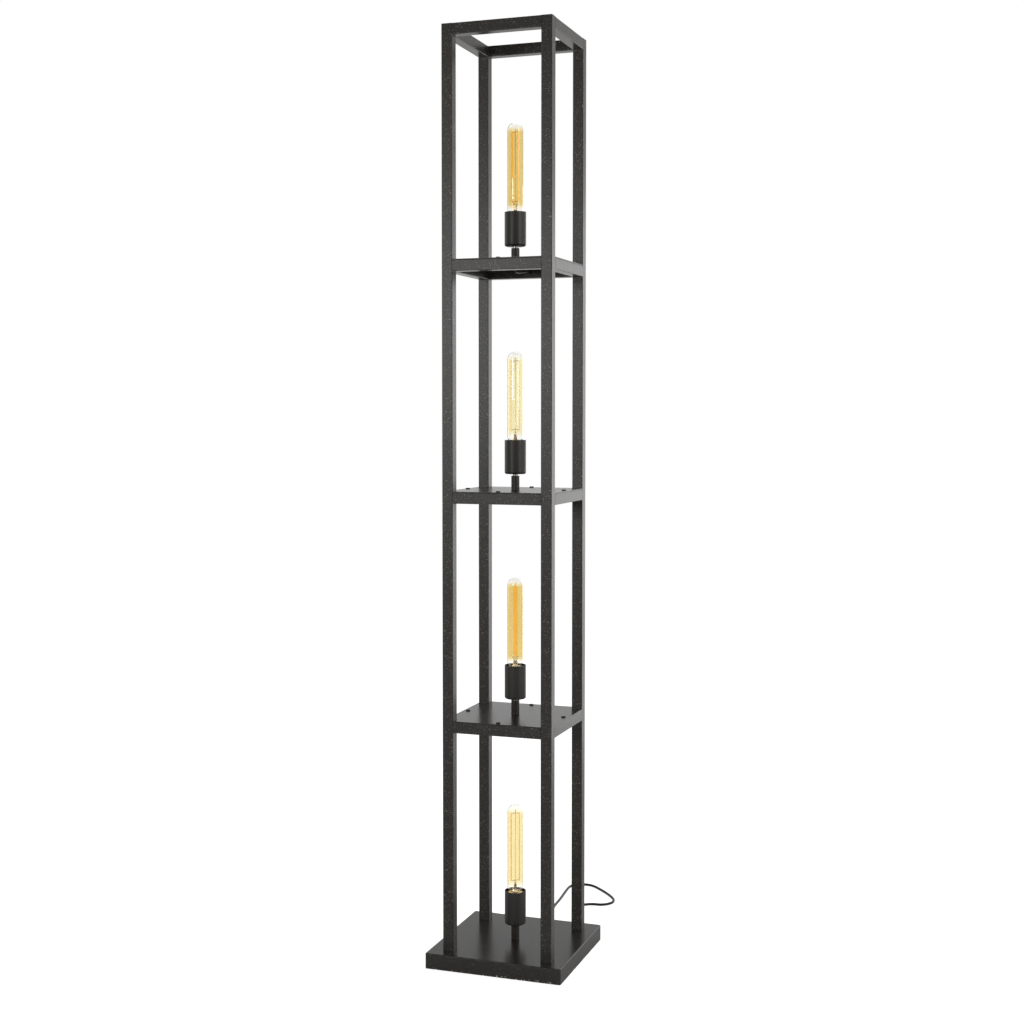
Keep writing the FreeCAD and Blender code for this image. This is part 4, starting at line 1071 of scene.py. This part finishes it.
@dataclass
class Studio:
    """A plain white floor, a white surround and large soft lights.

    Reflections show a room whose far end is at +Y. From room_front to room_back it turns from room_level to
    full white, and from wall_low to wall_high it fades upwards to above_wall. These four are the Y and Z of
    a heading of length 1.
    """

    floor_size: float = 12.0
    floor_colour: str = "#f4f4f4"
    white: str = "#ffffff"
    floor_light: float = 0.13
    floor_seen: float = 0.8
    surround: float = 0.33
    room_level: float = 0.2
    room_front: float = -0.75
    room_back: float = 0.15
    wall_low: float = 0.14
    wall_high: float = 0.5
    above_wall: float = 0.3
    lights: tuple[SoftLight, ...] = (
        SoftLight("front_softbox", (-1.25, -3.4, 1.35), (0, 0, 1.1), (0.9, 0.7), 21.0),
        SoftLight("side_softbox", (3.0, -1.2, 1.8), (0, 0, 0.9), (1.4, 2.2), 22.0),
        SoftLight("top_softbox", (0.0, 1.4, 3.4), (0, 0, 0.8), (2.4, 1.6), 15.0),
        SoftLight("back_softbox", (0.7, 1.75, 0.8), (0.05, 0, 0.75), (0.8, 1.6), 6.0))

    def seen(self, tree: bpy.types.NodeTree) -> bpy.types.NodeSocket:
        """Tells the rays of the eye, straight or through glass, from the others.

        Args:
            tree: The node tree.

        Returns:
            A socket that is 1 for the eye's rays and 0 for the others.
        """
        path = add_node(tree, "ShaderNodeLightPath")
        return add_node(tree, "ShaderNodeMath", {"operation": "MAXIMUM"}, {
            0: path.outputs["Is Camera Ray"], 1: path.outputs["Is Transmission Ray"]}).outputs[0]

    def floor(self) -> None:
        """Makes the floor."""
        deselect()
        bpy.ops.mesh.primitive_plane_add(size=self.floor_size, location=(0, 0, 0))
        plane = bpy.context.object
        plane.name = "studio_floor"
        material, tree, output = new_material("studio_floor_white")
        shader = add_node(tree, "ShaderNodeBsdfDiffuse", inputs={"Color": linear(self.floor_colour)})
        strength = add_node(tree, "ShaderNodeMapRange", inputs={
            "Value": self.seen(tree), "To Min": self.floor_light, "To Max": self.floor_seen}).outputs[0]
        glow = add_node(tree, "ShaderNodeEmission", inputs={
            "Color": linear(self.white), "Strength": strength})
        both = add_node(tree, "ShaderNodeAddShader", inputs={0: shader.outputs[0], 1: glow.outputs[0]})
        tree.links.new(both.outputs[0], output.inputs["Surface"])
        plane.data.materials.append(material)

    def world(self) -> None:
        """Makes the surround: full white to the eye, and in reflections a dimmer room with a white wall."""
        world = bpy.data.worlds.new("studio_world")
        bpy.context.scene.world = world
        world.use_nodes = True
        tree = world.node_tree
        tree.nodes.clear()
        output = add_node(tree, "ShaderNodeOutputWorld")
        path = add_node(tree, "ShaderNodeLightPath")
        direction = add_node(tree, "ShaderNodeTexCoord").outputs["Generated"]
        heading = add_node(tree, "ShaderNodeSeparateXYZ", inputs={0: direction})
        room = add_node(tree, "ShaderNodeMapRange", {"interpolation_type": "SMOOTHSTEP"}, {
            "Value": heading.outputs["Y"], "From Min": self.room_front, "From Max": self.room_back,
            "To Min": self.room_level, "To Max": 1.0}).outputs[0]
        wall = add_node(tree, "ShaderNodeMapRange", inputs={
            "Value": heading.outputs["Z"], "From Min": self.wall_low, "From Max": self.wall_high,
            "To Min": 1.0, "To Max": self.above_wall}).outputs[0]
        mirrored = add_node(tree, "ShaderNodeMath", {"operation": "MULTIPLY"}, {
            0: room, 1: wall}).outputs[0]
        around = add_node(tree, "ShaderNodeMath", {"operation": "MULTIPLY"}, {
            0: room, 1: self.surround}).outputs[0]
        light = add_node(tree, "ShaderNodeMix", {"data_type": "FLOAT"}, {
            "Factor": path.outputs["Is Glossy Ray"], FLOAT_A: around, FLOAT_B: mirrored}).outputs[FLOAT_OUT]
        strength = add_node(tree, "ShaderNodeMix", {"data_type": "FLOAT"}, {
            "Factor": self.seen(tree), FLOAT_A: light, FLOAT_B: 1.0}).outputs[FLOAT_OUT]
        background = add_node(tree, "ShaderNodeBackground", inputs={
            "Color": linear(self.white), "Strength": strength})
        tree.links.new(background.outputs[0], output.inputs["Surface"])

    def build(self) -> None:
        """Makes the floor, the surround and the lights."""
        self.floor()
        self.world()
        for light in self.lights:
            light.build()
        bpy.context.scene.view_settings.view_transform = "Standard"


def main() -> None:
    """Builds the scene."""
    logging.basicConfig(level=logging.INFO, format="%(name)s: %(message)s")
    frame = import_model()
    nodes = frame["nodes"]
    finishes = Finishes()
    PhotoCamera().build()
    for part in (CordRun(), Tower(), Base(), Holders(), Bulbs()):
        for piece in part.build(nodes, finishes):
            LOG.info("%s: %s, %s", type(part).__name__, piece.name, piece.data.materials[0].name)
    Studio().build()
    deselect()


if __name__ == "__main__":
    main()
